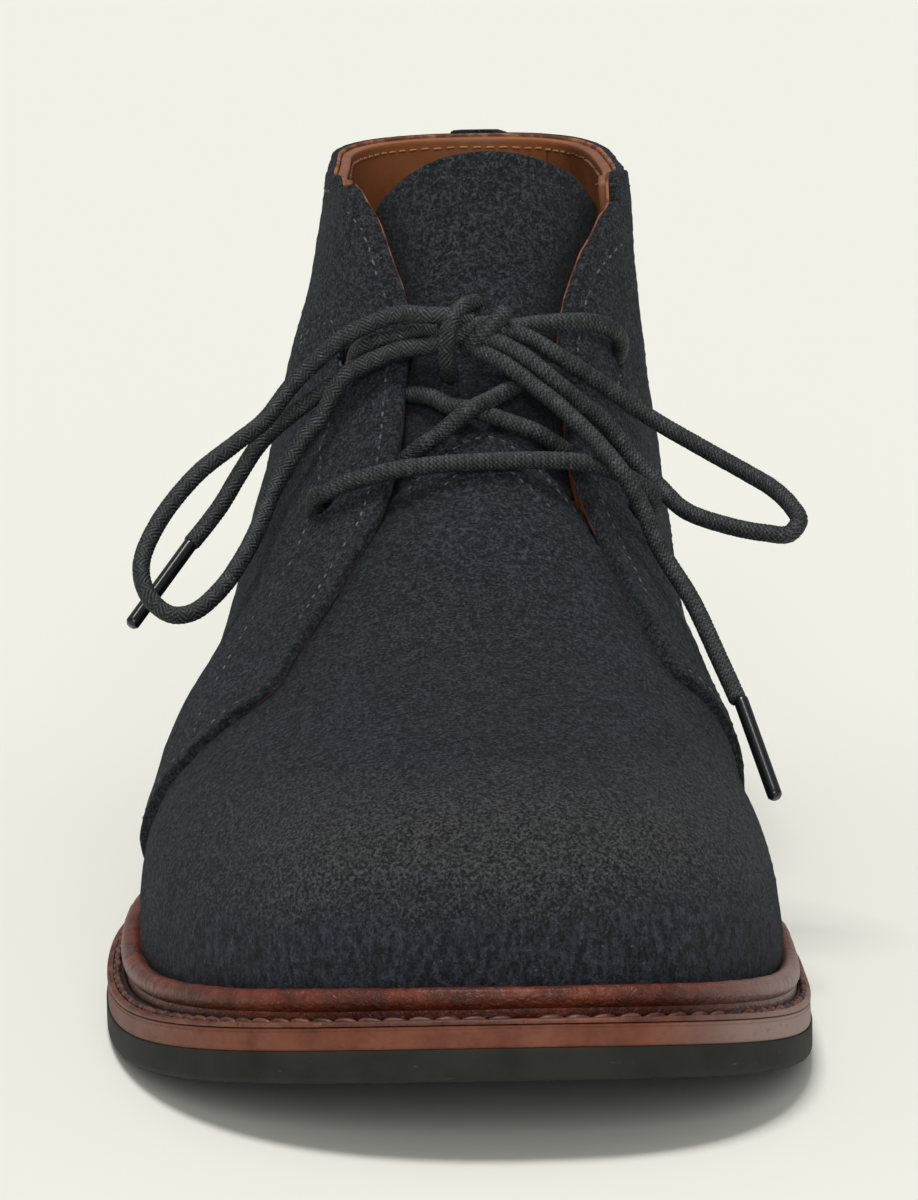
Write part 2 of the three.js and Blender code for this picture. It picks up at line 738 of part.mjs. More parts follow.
addNode('lace_bar', laceTube('bar'), COLOURS.lace, 0.6);
addNode('lace_crossing', joined(['over', 'under']), COLOURS.lace, 0.6);
const KNOT = ['knotCore', 'knotWrap', 'knotFront', 'toUpperMedial', 'toUpperLateral'];
addNode('lace_knot', joined(KNOT), COLOURS.lace, 0.6);
addNode('lace_loop_lateral', laceTube('lateralLoop'), COLOURS.lace, 0.6);
addNode('lace_loop_medial', laceTube('medialLoop'), COLOURS.lace, 0.6);
addNode('lace_end_lateral', laceTube('lateralEnd'), COLOURS.lace, 0.6);
addNode('lace_end_medial', laceTube('medialEnd'), COLOURS.lace, 0.6);
addNode('aglet_lateral', laceTube('lateralAglet', AGLET_RADIUS), COLOURS.lace, 0.25);
addNode('aglet_medial', laceTube('medialAglet', AGLET_RADIUS), COLOURS.lace, 0.25);

export default group;
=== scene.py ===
import math

import bpy
import numpy as np
from mathutils import Euler, Matrix


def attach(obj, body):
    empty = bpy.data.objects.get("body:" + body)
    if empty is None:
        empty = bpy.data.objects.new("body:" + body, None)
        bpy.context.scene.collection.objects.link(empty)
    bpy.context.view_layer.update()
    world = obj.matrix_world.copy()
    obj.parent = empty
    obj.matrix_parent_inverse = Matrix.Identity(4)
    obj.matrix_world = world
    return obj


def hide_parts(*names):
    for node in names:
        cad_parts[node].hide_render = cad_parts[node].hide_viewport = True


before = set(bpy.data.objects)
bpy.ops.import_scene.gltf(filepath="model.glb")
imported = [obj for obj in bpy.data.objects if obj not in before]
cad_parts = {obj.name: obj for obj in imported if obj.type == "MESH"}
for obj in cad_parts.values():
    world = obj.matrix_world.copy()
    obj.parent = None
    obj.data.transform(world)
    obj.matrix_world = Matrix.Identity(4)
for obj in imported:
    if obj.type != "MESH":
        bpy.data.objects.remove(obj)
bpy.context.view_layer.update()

# A suede chukka boot for the right foot. Lengths in the tables are millimetres in the boot's own
# terms: x to the inner side, "at" the distance back from the tip of the sole, z up. place() carries
# them to the frame, in metres.
MM = 0.001


def table(names, *rows):
    keys = names.split()
    return {key: np.array([row[i] for row in rows], float) for i, key in enumerate(keys)}


# ---------------------------------------------------------------- the camera
CAMERA = {"place": (0.00205, -0.9022, 0.212), "down": 9.7, "roll": -1.0, "lens": 159.0}


def make_camera():
    data = bpy.data.cameras.new("camera")
    data.sensor_fit = "VERTICAL"
    data.sensor_height = 36.0
    data.lens = CAMERA["lens"]
    data.clip_end = 50.0
    camera = bpy.data.objects.new("camera", data)
    turn = Euler((math.radians(90 - CAMERA["down"]), 0, 0)).to_matrix()
    roll = Matrix.Rotation(math.radians(CAMERA["roll"]), 3, "Z")
    camera.matrix_world = Matrix.Translation(CAMERA["place"]) @ (turn @ roll).to_4x4()
    bpy.context.scene.collection.objects.link(camera)
    bpy.context.scene.camera = camera


make_camera()

# ---------------------------------------------------------------- the last and the sole
TOE_SPRING, SPRING_POWER = 12.5, 1.8
FLAT_FROM, FLAT_TO, HEEL_BREAST, HEEL_LIFT = 86, 130, 226, 16
GAP = 0.3
LIP_THICK = 0.45
OUTSOLE_THICK, MIDSOLE_THICK = 4.9, 3.2
MIDSOLE_BASE = OUTSOLE_THICK + GAP
FEATHER = MIDSOLE_BASE + MIDSOLE_THICK + 1.4 * GAP
WELT_INSET, WELT_LAP = 0.2, 4
BEAD_HEIGHT, BEAD_WIDTH = 5.6, 3.4
MIDSOLE_INSET = 0.5
WALL, QUARTER_PROUD, TONGUE_THICK, FIT_GAP = 2.3, 1.6, 2.4, 0.35
RIDGE_X, TIP_X, TIP_AT, FORM_DEPTH = 5, 7, 8.0, 14
BALL_AT = {"lateral": 106, "medial": 84}
TOE_POWER = {"lateral": 2.35, "medial": 2.75}
HEEL_POWER, HEEL_TURN = 2.5, 36
WAIST_AT, SEAT_AT, HEEL_AT, SOLE_TURN_AT, TOP_Z = 178, 232, 272, 297, 146

WALLS = {
    "lateral": table(
        "at ball waist seat heel",
        (0, -52.2, -39.5, -29.5, -28.5), (8, -52.8, -40.5, -30.5, -29.5),
        (34, -49.8, -39.5, -31.0, -29.0), (66, -45.0, -32.5, -27.0, -25.0),
        (100, -43.0, -23.5, -21.5, -21.5), (130, -43.0, -20.5, -20.0, -20.5)),
    "medial": table(
        "at ball waist seat heel",
        (0, 49.6, 30.0, 35.0, 36.0), (8, 50.2, 32.5, 36.0, 37.0),
        (34, 47.8, 38.0, 37.0, 36.5), (66, 45.0, 34.0, 33.5, 32.5),
        (100, 42.0, 30.5, 30.0, 28.0), (130, 42.0, 28.5, 28.0, 26.5)),
}
RIDGE = table(
    "at z", (7, 29), (9, 36.5), (14, 43), (24, 49), (45, 53.5), (70, 57), (95, 62.5),
    (115, 70.5), (135, 82.5), (150, 95), (162, 108), (171, 122), (177, 138), (182, 160),
    (200, 300), (310, 900))
ROUNDNESS = table("at power", (8, 2.2), (60, 2.3), (110, 2.1), (150, 2.0), (180, 2.4), (210, 3.0))
BACK = table("at back", (10, 299.4), (30, 300.0), (48, 300.6), (72, 298.5), (100, 294.0),
             (128, 291.0), (170, 288.0))
RIBS = table("at ridge low", (0, 7.3, 9), (1, 60, 60), (2, 96, 104), (3, 128, 176), (4, 152, 256),
             (5, 164, 326), (6, 173.5, 388), (7, 178.8, 440))
TOPLINE = table("at z", (150, 131.0), (186, 128.5), (215, 126.0), (255, 126.0), (310, 127.4))
SOLE_MARGIN = table("at lateral medial", (0, 8.0, 8.0), (60, 6.8, 5.4), (110, 6.4, 4.6),
                    (175, 4.6, 3.4), (235, 4.0, 4.0), (304, 4.4, 4.4))
QUARTER_SEAM = table(
    "at lateral medial", (0, 133, 137), (14, 126, 130), (22, 115, 123), (30, 106, 116),
    (37, 101, 112), (43, 98, 109), (49, 95.5, 106.5), (55, 95, 103), (80, 95, 103))
THROAT = table(
    "at lateral medial", (94, -29.8, 37.5), (104, -26.8, 33.8), (115, -21.0, 30.0),
    (122, -17.5, 27.4), (130, -13.2, 24.2), (142, -9.8, 19.6), (156, -8.3, 18.3),
    (162, -7.5, 17.8), (168, -8.6, 18.8), (172, -10.2, 20.2), (178, -13.0, 23.0),
    (184, -16.6, 26.0), (188, -18.8, 27.6), (192, -20.8, 28.6))
VAMP_POINT = {"at": 143.6, "side": 136.5}
EYELET_RADIUS = 2.1
EYELETS = table("x at z", (-23.2, 142.5, 76.5), (33.2, 144, 75.5), (-18.4, 169, 98),
                (28.2, 172, 98))
TONGUE_TOP_Z, TONGUE_HALF_WIDTH, TONGUE_CROWN, TONGUE_ROOT_Z = 134, 23.4, 17, 78


def mix(a, b, t):
    return a + (b - a) * t


def smooth(t):
    u = np.clip(t, 0, 1)
    return u * u * (3 - 2 * u)


def least(*fields_):
    """The part that lies inside every one of the fields."""
    return np.minimum.reduce(np.broadcast_arrays(*fields_))


def soft_min(a, b, reach):
    t = np.clip(0.5 + 0.5 * (b - a) / reach, 0, 1)
    return mix(b, a, t) - reach * t * (1 - t)


def hermite(xs, ys, at):
    """A smooth curve through rows; each row's y may be a number or an array like at."""
    xs = np.asarray(xs, float)
    at = np.clip(np.asarray(at, float), xs[0], xs[-1])
    ys = np.stack([np.broadcast_to(y, at.shape) for y in ys])
    last = len(xs) - 1
    slopes = np.stack([
        (ys[min(j + 1, last)] - ys[max(j - 1, 0)]) / (xs[min(j + 1, last)] - xs[max(j - 1, 0)])
        for j in range(last + 1)])
    i = np.clip(np.searchsorted(xs, at, side="right") - 1, 0, last - 1)
    span = xs[i + 1] - xs[i]
    t = (at - xs[i]) / span

    def row(values, k):
        return np.take_along_axis(values, k[None], 0)[0]

    y0 = row(ys, i)
    rise = row(ys, i + 1) - y0
    s0, s1 = row(slopes, i) * span, row(slopes, i + 1) * span
    return y0 + t * (s0 + t * (3 * rise - 2 * s0 - s1 + t * (s0 + s1 - 2 * rise)))


def column(rows, key, at):
    return hermite(rows["at"], rows[key], at)


def underside(at):
    spring = TOE_SPRING * (np.clip(FLAT_FROM - at, 0, None) / FLAT_FROM) ** SPRING_POWER
    rise = HEEL_LIFT * smooth((at - FLAT_TO) / (HEEL_BREAST - FLAT_TO))
    return np.where(at < FLAT_FROM, spring, rise)


def feather_z(at):
    return underside(at) + FEATHER


def rounded(t, power):
    return (1 - np.clip(t, 0, 1) ** power) ** (1 / power)


def wall_x(side, at, z):
    height = z - feather_z(at)
    at, height = np.broadcast_arrays(np.asarray(at, float), height)
    walls, ball_at = WALLS[side], BALL_AT[side]
    ball = column(walls, "ball", height)
    waist = column(walls, "waist", height)
    front = mix(TIP_X, ball, rounded((ball_at - at) / (ball_at - TIP_AT), TOE_POWER[side]))
    rows = [waist, ball, waist, column(walls, "seat", height), column(walls, "heel", height)]
    behind = hermite([2 * ball_at - WAIST_AT, ball_at, WAIST_AT, SEAT_AT, HEEL_AT], rows, at)
    x = np.where(at < ball_at, front, behind)
    back = column(BACK, "back", z)
    return mix(RIDGE_X, x, rounded((at - back + HEEL_TURN) / HEEL_TURN, HEEL_POWER))


def ridge_z(at):
    return np.where(at < RIDGE["at"][0], 0, column(RIDGE, "z", at))


def form_x(side, at, z):
    shoulder = feather_z(at) + 8
    rise = (z - shoulder) / (ridge_z(at) - shoulder)
    top = rounded(rise, column(ROUNDNESS, "power", at))
    return mix(mix(TIP_X, RIDGE_X, smooth(at / 60)), wall_x(side, at, z), top)


def inside_form(x, at, z):
    inside = (at >= TIP_AT - 1.5) & (at <= column(BACK, "back", z))
    inside &= (z <= ridge_z(at)) & (z <= TOP_Z) & (z >= feather_z(at) - FORM_DEPTH)
    return inside & (x > form_x("lateral", at, z)) & (x < form_x("medial", at, z))


def rib_places(toe, rest):
    start = (np.arange(1, toe + 1) / toe) ** 2.2 * 0.55
    return np.concatenate([start, mix(0.55, 7, np.arange(1, rest + 1) / rest)])


class Grid:
    """The last as rings of points along its ribs, with normals and the triangles between them."""

    def __init__(self, toe, rest, count):
        ribs = rib_places(toe, rest)
        top_at = column(RIBS, "ridge", ribs)
        top_z = np.minimum(ridge_z(top_at), TOP_Z)
        low = column(RIBS, "low", ribs)
        turn_z = feather_z(SOLE_TURN_AT) - FORM_DEPTH
        low_z = np.where(low <= SOLE_TURN_AT, feather_z(low) - FORM_DEPTH, turn_z + low - SOLE_TURN_AT)
        low_at = np.where(low <= SOLE_TURN_AT, low, column(BACK, "back", low_z))
        centre_at, centre_z = mix(low_at, top_at, 0.42), mix(low_z, top_z, 0.42)
        reach = np.hypot(top_at - low_at, top_z - low_z)
        angle = np.arange(count) / count * 2 * math.pi
        step = np.stack([
            np.broadcast_to(np.sin(angle), (len(ribs), count)),
            ((top_at - low_at) / reach)[:, None] * np.cos(angle),
            ((top_z - low_z) / reach)[:, None] * np.cos(angle)])
        centre = np.stack([mix(TIP_X, RIDGE_X, smooth(centre_at / 60)), centre_at, centre_z])
        near, far = np.zeros(step.shape[1:]), np.full(step.shape[1:], 160.0)
        for _ in range(24):
            middle = (near + far) / 2
            inside = inside_form(*(centre[:, :, None] + step * middle))
            near, far = np.where(inside, middle, near), np.where(inside, far, middle)
        self.points = np.moveaxis(centre[:, :, None] + step * near, 0, -1)
        self.across = np.roll(self.points, -1, 1) - np.roll(self.points, 1, 1)
        self.along = np.gradient(self.points, axis=0) * 2
        normal = np.cross(self.across, self.along)
        normal /= np.linalg.norm(normal, axis=-1, keepdims=True) + 1e-9
        self.normals = normal
        rows, cols = self.points.shape[:2]
        a = (np.arange(rows - 1)[:, None] * cols + np.arange(cols)).ravel()
        b = (np.arange(rows - 1)[:, None] * cols + (np.arange(cols) + 1) % cols).ravel()
        self.triangles = np.concatenate([np.stack([a, b, b + cols], 1),
                                         np.stack([a, b + cols, a + cols], 1)])

    def even(self, field):
        """A field scaled to the distance along the surface near its zero line."""
        fu = (np.roll(field, -1, 1) - np.roll(field, 1, 1))
        fv = np.gradient(field, axis=0) * 2
        e = (self.across ** 2).sum(-1)
        g = (self.along ** 2).sum(-1)
        f = (self.across * self.along).sum(-1)
        slope = (g * fu ** 2 - 2 * f * fu * fv + e * fv ** 2) / (e * g - f * f + 1e-9)
        return field / np.clip(np.sqrt(np.clip(slope, 0, None)), 0.35, 3)


def fields(grid):
    """Signed distances on the last to the edges of the pieces, positive inside."""
    x, at, z = np.moveaxis(grid.points, -1, 0)
    lateral = x < RIDGE_X
    seam_at = np.where(lateral, column(QUARTER_SEAM, "lateral", z), column(QUARTER_SEAM, "medial", z))
    left, right = column(THROAT, "lateral", at), column(THROAT, "medial", at)
    throat = np.where(lateral, left - x, x - right) + np.clip(at - 187, 0, None) ** 2 * 0.12
    across = np.clip((x - left) / (right - left), 0, 1)
    vamp_top = VAMP_POINT["side"] + np.sin(across * math.pi) * (VAMP_POINT["at"] - VAMP_POINT["side"])
    out = {
        "seam": grid.even(at - seam_at),
        "throat": grid.even(throat),
        "top": grid.even(column(TOPLINE, "z", at) - z),
        "arc": grid.even(vamp_top - at),
        "foot": z - feather_z(at),
    }
    # each eyelet is a round hole through the facing, square to it
    holes = np.full(x.shape, 60.0)
    for ex, eat, ez in zip(EYELETS["x"], EYELETS["at"], EYELETS["z"]):
        inner = np.array([mix(ex, RIDGE_X, 0.5), eat + 10, ez - 10])
        outer = np.array([mix(ex, RIDGE_X, -0.3), eat - 6, ez + 6])
        axis = (outer - inner) / np.linalg.norm(outer - inner)
        arm = grid.points - inner
        run = (arm @ axis)
        away = np.linalg.norm(arm - run[..., None] * axis, axis=-1) - EYELET_RADIUS
        holes = np.minimum(holes, np.where((run > -2) & (run < 45), away, 60))
    out["holes"] = holes
    out["cover"] = soft_min(out["seam"], out["throat"], 3.0)
    return out


# ---------------------------------------------------------------- the footprint
LOOP_STEPS = 420


def feather_loop(height=0.0):
    end = float(column(BACK, "back", np.array(feather_z(np.array(HEEL_AT)) + height)))
    k = np.arange(LOOP_STEPS + 1)
    at = mix(TIP_AT, end, (1 - np.cos(math.pi * k / LOOP_STEPS)) / 2)
    sides = []
    for side in ("lateral", "medial"):
        x = wall_x(side, at, feather_z(at) + height)
        sides.append(np.where(at <= TIP_AT, TIP_X, np.where(at >= end, RIDGE_X, x)))
    lateral = np.stack([sides[0], at], 1)[:-1]
    medial = np.stack([sides[1], at], 1)[:0:-1]
    return np.concatenate([lateral, medial])


def sole_margin(at, lateral):
    return np.where(lateral, column(SOLE_MARGIN, "lateral", at), column(SOLE_MARGIN, "medial", at))


def grown_loop(margin, height=0.0):
    loop = feather_loop(height)
    run = np.roll(loop, -4, 0) - np.roll(loop, 4, 0)
    run /= np.linalg.norm(run, axis=1, keepdims=True)
    grow = margin(loop[:, 1], np.arange(len(loop)) < LOOP_STEPS) if callable(margin) else margin
    return loop + np.stack([-run[:, 1], run[:, 0]], 1) * np.reshape(grow, (-1, 1))


def even_loop(loop, count):
    """The same loop with its points the same distance apart."""
    closed = np.concatenate([loop, loop[:1]])
    length = np.concatenate([[0], np.cumsum(np.linalg.norm(np.diff(closed, axis=0), axis=1))])
    places = np.arange(count) / count * length[-1]
    return np.stack([np.interp(places, length, closed[:, k]) for k in range(closed.shape[1])], 1)


SOLE_LOOP = grown_loop(sole_margin)
ORIGIN = (SOLE_LOOP.min(0) + SOLE_LOOP.max(0)) / 2


def place(points):
    points = np.asarray(points, float).reshape(-1, 3)
    return (points - [ORIGIN[0], ORIGIN[1], 0]) * MM


# ---------------------------------------------------------------- meshes
def add_piece(name, points, faces, materials, slot, replaces=(), face_material=None):
    mesh = bpy.data.meshes.new(name)
    faces = [[int(corner) for corner in face] for face in faces]
    mesh.from_pydata(place(points).tolist(), [], faces)
    for material in materials:
        mesh.materials.append(material)
    if face_material is not None:
        mesh.polygons.foreach_set("material_index", np.asarray(face_material, np.int32))
    mesh.polygons.foreach_set("use_smooth", np.full(len(mesh.polygons), True))
    mesh.validate()
    mesh.update()
    obj = bpy.data.objects.new(name, mesh)
    bpy.context.scene.collection.objects.link(obj)
    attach(obj, "root")
    if replaces:
        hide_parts(*replaces)
    return obj


def clip(data, triangles, field):
    """Keep the part of a triangle mesh where field is above zero; data rows are blended."""
    inside = field > 0
    count = inside[triangles].sum(1)
    kept = [triangles[count == 3]]
    total = len(data)

    def cut(tris, odd_inside):
        odd = inside[tris] == odd_inside
        turn = odd.argmax(1)
        index = (turn[:, None] + np.arange(3)) % 3
        return np.take_along_axis(tris, index, 1)

    ones, twos = cut(triangles[count == 1], True), cut(triangles[count == 2], False)
    edges = np.concatenate([ones[:, [0, 1]], ones[:, [0, 2]], twos[:, [0, 1]], twos[:, [0, 2]]])
    pairs, back = np.unique(np.sort(edges, 1), axis=0, return_inverse=True)
    back = back.reshape(-1)
    if len(pairs):
        fa, fb = field[pairs[:, 0]], field[pairs[:, 1]]
        t = (fa / (fa - fb))[:, None]
        data = np.concatenate([data, mix(data[pairs[:, 0]], data[pairs[:, 1]], t)])
        new = total + back
        n1, n2 = len(ones), len(twos)
        ab, ac = new[:n1], new[n1:2 * n1]
        kept.append(np.stack([ones[:, 0], ab, ac], 1))
        ab, ac = new[2 * n1:2 * n1 + n2], new[2 * n1 + n2:]
        kept.append(np.stack([ab, twos[:, 1], twos[:, 2]], 1))
        kept.append(np.stack([ab, twos[:, 2], ac], 1))
    triangles = np.concatenate(kept)
    used, triangles = np.unique(triangles, return_inverse=True)
    return data[used], triangles.reshape(-1, 3)


def edge_loops(triangles):
    edges = np.concatenate([triangles[:, [0, 1]], triangles[:, [1, 2]], triangles[:, [2, 0]]])
    seen = set(map(tuple, edges.tolist()))
    after = {a: b for a, b in seen if (b, a) not in seen}
    loops = []
    while after:
        start, _ = next(iter(after.items()))
        loop, at = [], start
        while at in after:
            loop.append(at)
            at = after.pop(at)
        if at == start and len(loop) > 3:
            loops.append(np.array(loop))
    return loops


def smooth_loop(values, rounds):
    for _ in range(rounds):
        values = (np.roll(values, 1, 0) + 2 * values + np.roll(values, -1, 0)) / 4
    return values


RIM = 0.9


def shell(grid, field, top, bottom, materials, name, slot, replaces=(), turn=0.55, raw=0.6,
          shade=None):
    """A leather of the last's shape between two offsets, with its edges rounded over.

    The edge faces take the second material.
    """
    extra = np.stack([top, bottom, 0 * top if shade is None else shade], -1)
    data = np.concatenate([grid.points, grid.normals, extra], -1).reshape(-1, 9)
    data, triangles = clip(data, grid.triangles, (field - RIM).ravel())
    points, normals = data[:, :3], data[:, 3:6]
    normals = normals / np.linalg.norm(normals, axis=1, keepdims=True)
    high, low = data[:, 6:7], data[:, 7:8]
    count = len(points)
    rows = [points + normals * high, points + normals * low]
    shades = [data[:, 8], data[:, 8]]
    faces = [triangles, triangles[:, ::-1] + count]
    marks = [np.zeros(len(triangles)), np.full(len(triangles), len(materials) - 1)]
    profile = [(RIM - turn + turn * math.sin(a), turn * (1 - math.cos(a)), 0, 0)
               for a in np.radians([15, 35, 55, 75, 90])]
    profile += [(RIM, raw, 1, 0), (RIM, 0.2, 1, 1), (RIM - 0.2, 0, 1, 1)]
    total = 2 * count
    for loop in edge_loops(triangles):
        p, n = points[loop], normals[loop]
        if np.linalg.norm(np.diff(p, axis=0), axis=1).sum() < 4:
            continue
        tangent = smooth_loop(np.roll(p, -2, 0) - np.roll(p, 2, 0), 3)
        outward = np.cross(tangent, n)
        outward /= np.linalg.norm(outward, axis=1, keepdims=True) + 1e-9
        before = loop
        for out, drop, from_low, mark in profile:
            base = low[loop] + drop if from_low else np.maximum(high[loop] - drop, low[loop] + 0.3)
            rows.append(p + outward * out + n * base)
            shades.append(data[loop, 8])
            row = total + np.arange(len(loop))
            total += len(loop)
            a, b = before, np.roll(before, -1)
            a1, b1 = row, np.roll(row, -1)
            faces += [np.stack([b, a, a1], 1), np.stack([b, a1, b1], 1)]
            marks += [np.full(2 * len(loop), mark)]
            before = row
        a, b = before, np.roll(before, -1)
        a1, b1 = loop + count, np.roll(loop, -1) + count
        faces += [np.stack([b, a, a1], 1), np.stack([b, a1, b1], 1)]
        marks += [np.full(2 * len(loop), len(materials) - 1)]
    obj = add_piece(name, np.concatenate(rows), np.concatenate(faces), materials, slot, replaces,
                    np.concatenate(marks))
    layer = obj.data.attributes.new("shade", "FLOAT", "POINT")
    layer.data.foreach_set("value", np.concatenate(shades).astype(np.float32))
    return obj


def loft(rings, caps=True):
    """Faces of closed rings (R, C, 3) joined in turn."""
    rows, cols = rings.shape[:2]
    k = np.arange(cols)
    a = (np.arange(rows - 1)[:, None] * cols + k).ravel()
    b = (np.arange(rows - 1)[:, None] * cols + (k + 1) % cols).ravel()
    faces = np.stack([a, b, b + cols, a + cols], 1).tolist()
    if caps:
        faces.append(list(range(cols))[::-1])
        faces.append([(rows - 1) * cols + i for i in range(cols)])
    return rings.reshape(-1, 3), faces


# ---------------------------------------------------------------- materials
class Shader:
    """Short words for building a material's nodes."""

    def __init__(self, name):
        self.material = bpy.data.materials.new(name)
        self.material.use_nodes = True
        self.tree = self.material.node_tree
        self.bsdf = self.tree.nodes["Principled BSDF"]
        self.place = self.node("ShaderNodeTexCoord").outputs["Object"]

    def node(self, kind, values=(), **settings):
        node = self.tree.nodes.new(kind)
        for key, value in settings.items():
            setattr(node, key, value)
        for key, value in dict(values).items():
            self.put(node.inputs[key], value)
        return node

    def put(self, socket, value):
        if isinstance(value, bpy.types.NodeSocket):
            self.tree.links.new(value, socket)
        else:
            socket.default_value = value

    def noise(self, scale, detail=2.0, rough=0.5, stretch=None, distortion=0.0):
        place = self.place
        if stretch:
            place = self.node("ShaderNodeMapping", {"Vector": place, "Scale": stretch}).outputs[0]
        return self.node("ShaderNodeTexNoise", {
            "Vector": place, "Scale": scale, "Detail": detail, "Roughness": rough,
            "Distortion": distortion}).outputs["Fac"]

    def cells(self, scale):
        node = self.node("ShaderNodeTexVoronoi", {"Vector": self.place, "Scale": scale})
        return node.outputs["Distance"]

    def ramp(self, value, low, high, a=0.0, b=1.0):
        return self.node("ShaderNodeMapRange", {
            "Value": value, "From Min": low, "From Max": high, "To Min": a, "To Max": b},
            interpolation_type="SMOOTHSTEP").outputs[0]

    def math(self, operation, a, b=0.0):
        return self.node("ShaderNodeMath", {0: a, 1: b}, operation=operation).outputs[0]

    def mix(self, factor, a, b):
        node = self.node("ShaderNodeMix", data_type="RGBA")
        for socket, value in ((node.inputs[0], factor), (node.inputs[6], a), (node.inputs[7], b)):
            self.put(socket, value)
        return node.outputs[2]

    def tint(self, base, mask, share, seen):
        """Lay a colour, as seen, over the base by a share of the mask."""
        return self.mix(self.math("MULTIPLY", mask, share), base, colour(*seen))

    def bump(self, height, strength, distance, normal=None):
        values = {"Height": height, "Strength": strength, "Distance": distance}
        if normal is not None:
            values["Normal"] = normal
        return self.node("ShaderNodeBump", values).outputs[0]

    def axis(self, name):
        return self.node("ShaderNodeSeparateXYZ", {0: self.place}).outputs[name]

    def done(self, **values):
        for key, value in values.items():
            self.put(self.bsdf.inputs[key.replace("_", " ")], value)
        return self.material


def colour(red, green, blue):
    """A colour given as seen, 0 to 255, in linear light."""
    def linear(v):
        v /= 255
        return v / 12.92 if v <= 0.04045 else ((v + 0.055) / 1.055) ** 2.4
    return (linear(red), linear(green), linear(blue), 1.0)


def suede_material(name, dark, light, teal, toe_sheen_and_nap=True):
    s = Shader(name)
    y, z = s.axis("Y"), s.axis("Z")
    base = s.mix(s.ramp(s.noise(110, 3, 0.6), 0.35, 0.68), dark, light)
    base = s.mix(s.ramp(s.noise(28, 2, 0.6), 0.46, 0.60), base, teal)
    pebble_and_painted_light = s.noise(820, 4, 0.8)
    grain_and_painted_light = s.noise(1900, 3, 0.72)
    # the grain and pebble specks are partly the suede's own mottle and partly painted light: the light
    # specks stand for glints, the near-black ones for shade in the pits
    base = s.mix(s.ramp(grain_and_painted_light, 0.50, 0.61, 0.0, 0.8), base, colour(92, 96, 106))
    base = s.mix(s.ramp(pebble_and_painted_light, 0.49, 0.62, 0.0, 0.55), base, colour(92, 98, 110))
    base = s.mix(s.ramp(grain_and_painted_light, 0.50, 0.41, 0.0, 0.9), base, colour(6, 7, 8))
    base = s.mix(s.ramp(pebble_and_painted_light, 0.49, 0.40, 0.0, 0.85), base, colour(5, 6, 8))
    if toe_sheen_and_nap:
        # two bands across the toe, q running up it from the welt: a grey one, partly the waxed toe's
        # own tone and partly painted sheen, and below it the blue nap
        q = s.math("ADD", z, s.math("MULTIPLY", y, 0.22))
        q = s.math("ADD", q, s.math("MULTIPLY", s.math("SUBTRACT", s.noise(34, 2), 0.5), 0.014))
        band = s.math("MULTIPLY", s.ramp(q, 0.001, 0.013), s.ramp(q, 0.029, 0.018))
        sides = s.math("ABSOLUTE", s.math("SUBTRACT", s.axis("X"), 0.008))
        band = s.math("MULTIPLY", band, s.ramp(sides, 0.056, 0.024))
        grey = s.mix(s.ramp(grain_and_painted_light, 0.40, 0.60), colour(24, 24, 24), colour(106, 105, 104))
        grey = s.mix(s.ramp(pebble_and_painted_light, 0.46, 0.36, 0.0, 0.6), grey, colour(14, 14, 14))
        base = s.mix(s.math("MULTIPLY", band, 0.75), base, grey)
        nap = s.math("MULTIPLY", s.ramp(q, 0.007, 0.0), s.ramp(y, -0.085, -0.11))
        streak = s.ramp(s.noise(520, 3, 0.7, stretch=(2.2, 1.0, 0.8)), 0.42, 0.62)
        blue = s.mix(streak, colour(16, 19, 26), colour(78, 84, 102))
        base = s.mix(s.math("MULTIPLY", nap, 0.6), base, blue)
    # painted glints: tiny light specks on the nap
    painted_glint = s.ramp(s.noise(2300, 1, 0.5), 0.68, 0.78)
    base = s.tint(base, painted_glint, 0.6, (138, 142, 150))
    shade = s.node("ShaderNodeAttribute", attribute_name="shade").outputs["Fac"]
    base = s.mix(shade, base, colour(9, 9, 11))
    fine = s.bump(grain_and_painted_light, 1.0, 0.0009)
    rough = s.bump(pebble_and_painted_light, 1.0, 0.005, fine)
    return s.done(Base_Color=base, Roughness=0.9, Normal=rough, Sheen_Weight=0.08,
                  Sheen_Roughness=0.5, Sheen_Tint=colour(178, 184, 200), Specular_IOR_Level=0.35)


def edge_material():
    s = Shader("raw_edge")
    x, z = s.axis("X"), s.axis("Z")
    patch = s.ramp(s.noise(170, 3, 0.6), 0.46, 0.60)
    low = s.mix(s.math("MULTIPLY", patch, s.ramp(x, -0.034, 0.02, 0.35, 1.0)), colour(18, 18, 21),
                colour(82, 42, 28))
    tone = s.ramp(s.noise(240, 3, 0.6), 0.40, 0.62)
    warm = s.mix(tone, colour(96, 54, 34), colour(166, 104, 66))
    base = s.mix(s.ramp(z, 0.100, 0.106), low, warm)
    base = s.mix(s.ramp(z, 0.054, 0.046), base, colour(18, 18, 21))
    return s.done(Base_Color=base, Roughness=0.85, Normal=s.bump(s.noise(1800, 3), 0.5, 0.0002))


def lining_material():
    s = Shader("lining_leather")
    tone = s.ramp(s.noise(60, 4, 0.6), 0.3, 0.7)
    base = s.mix(tone, colour(118, 70, 41), colour(152, 94, 56))
    mark = s.ramp(s.noise(160, 3, 0.6, stretch=(1, 1, 0.25)), 0.60, 0.75)
    base = s.tint(base, mark, 0.35, (92, 52, 30))
    pores = s.cells(1500)
    fine = s.bump(s.ramp(pores, 0.0, 0.5), 0.25, 0.0001)
    return s.done(Base_Color=base, Roughness=0.5, Normal=s.bump(s.noise(350, 3), 0.25, 0.0003, fine),
                  Specular_IOR_Level=0.35)


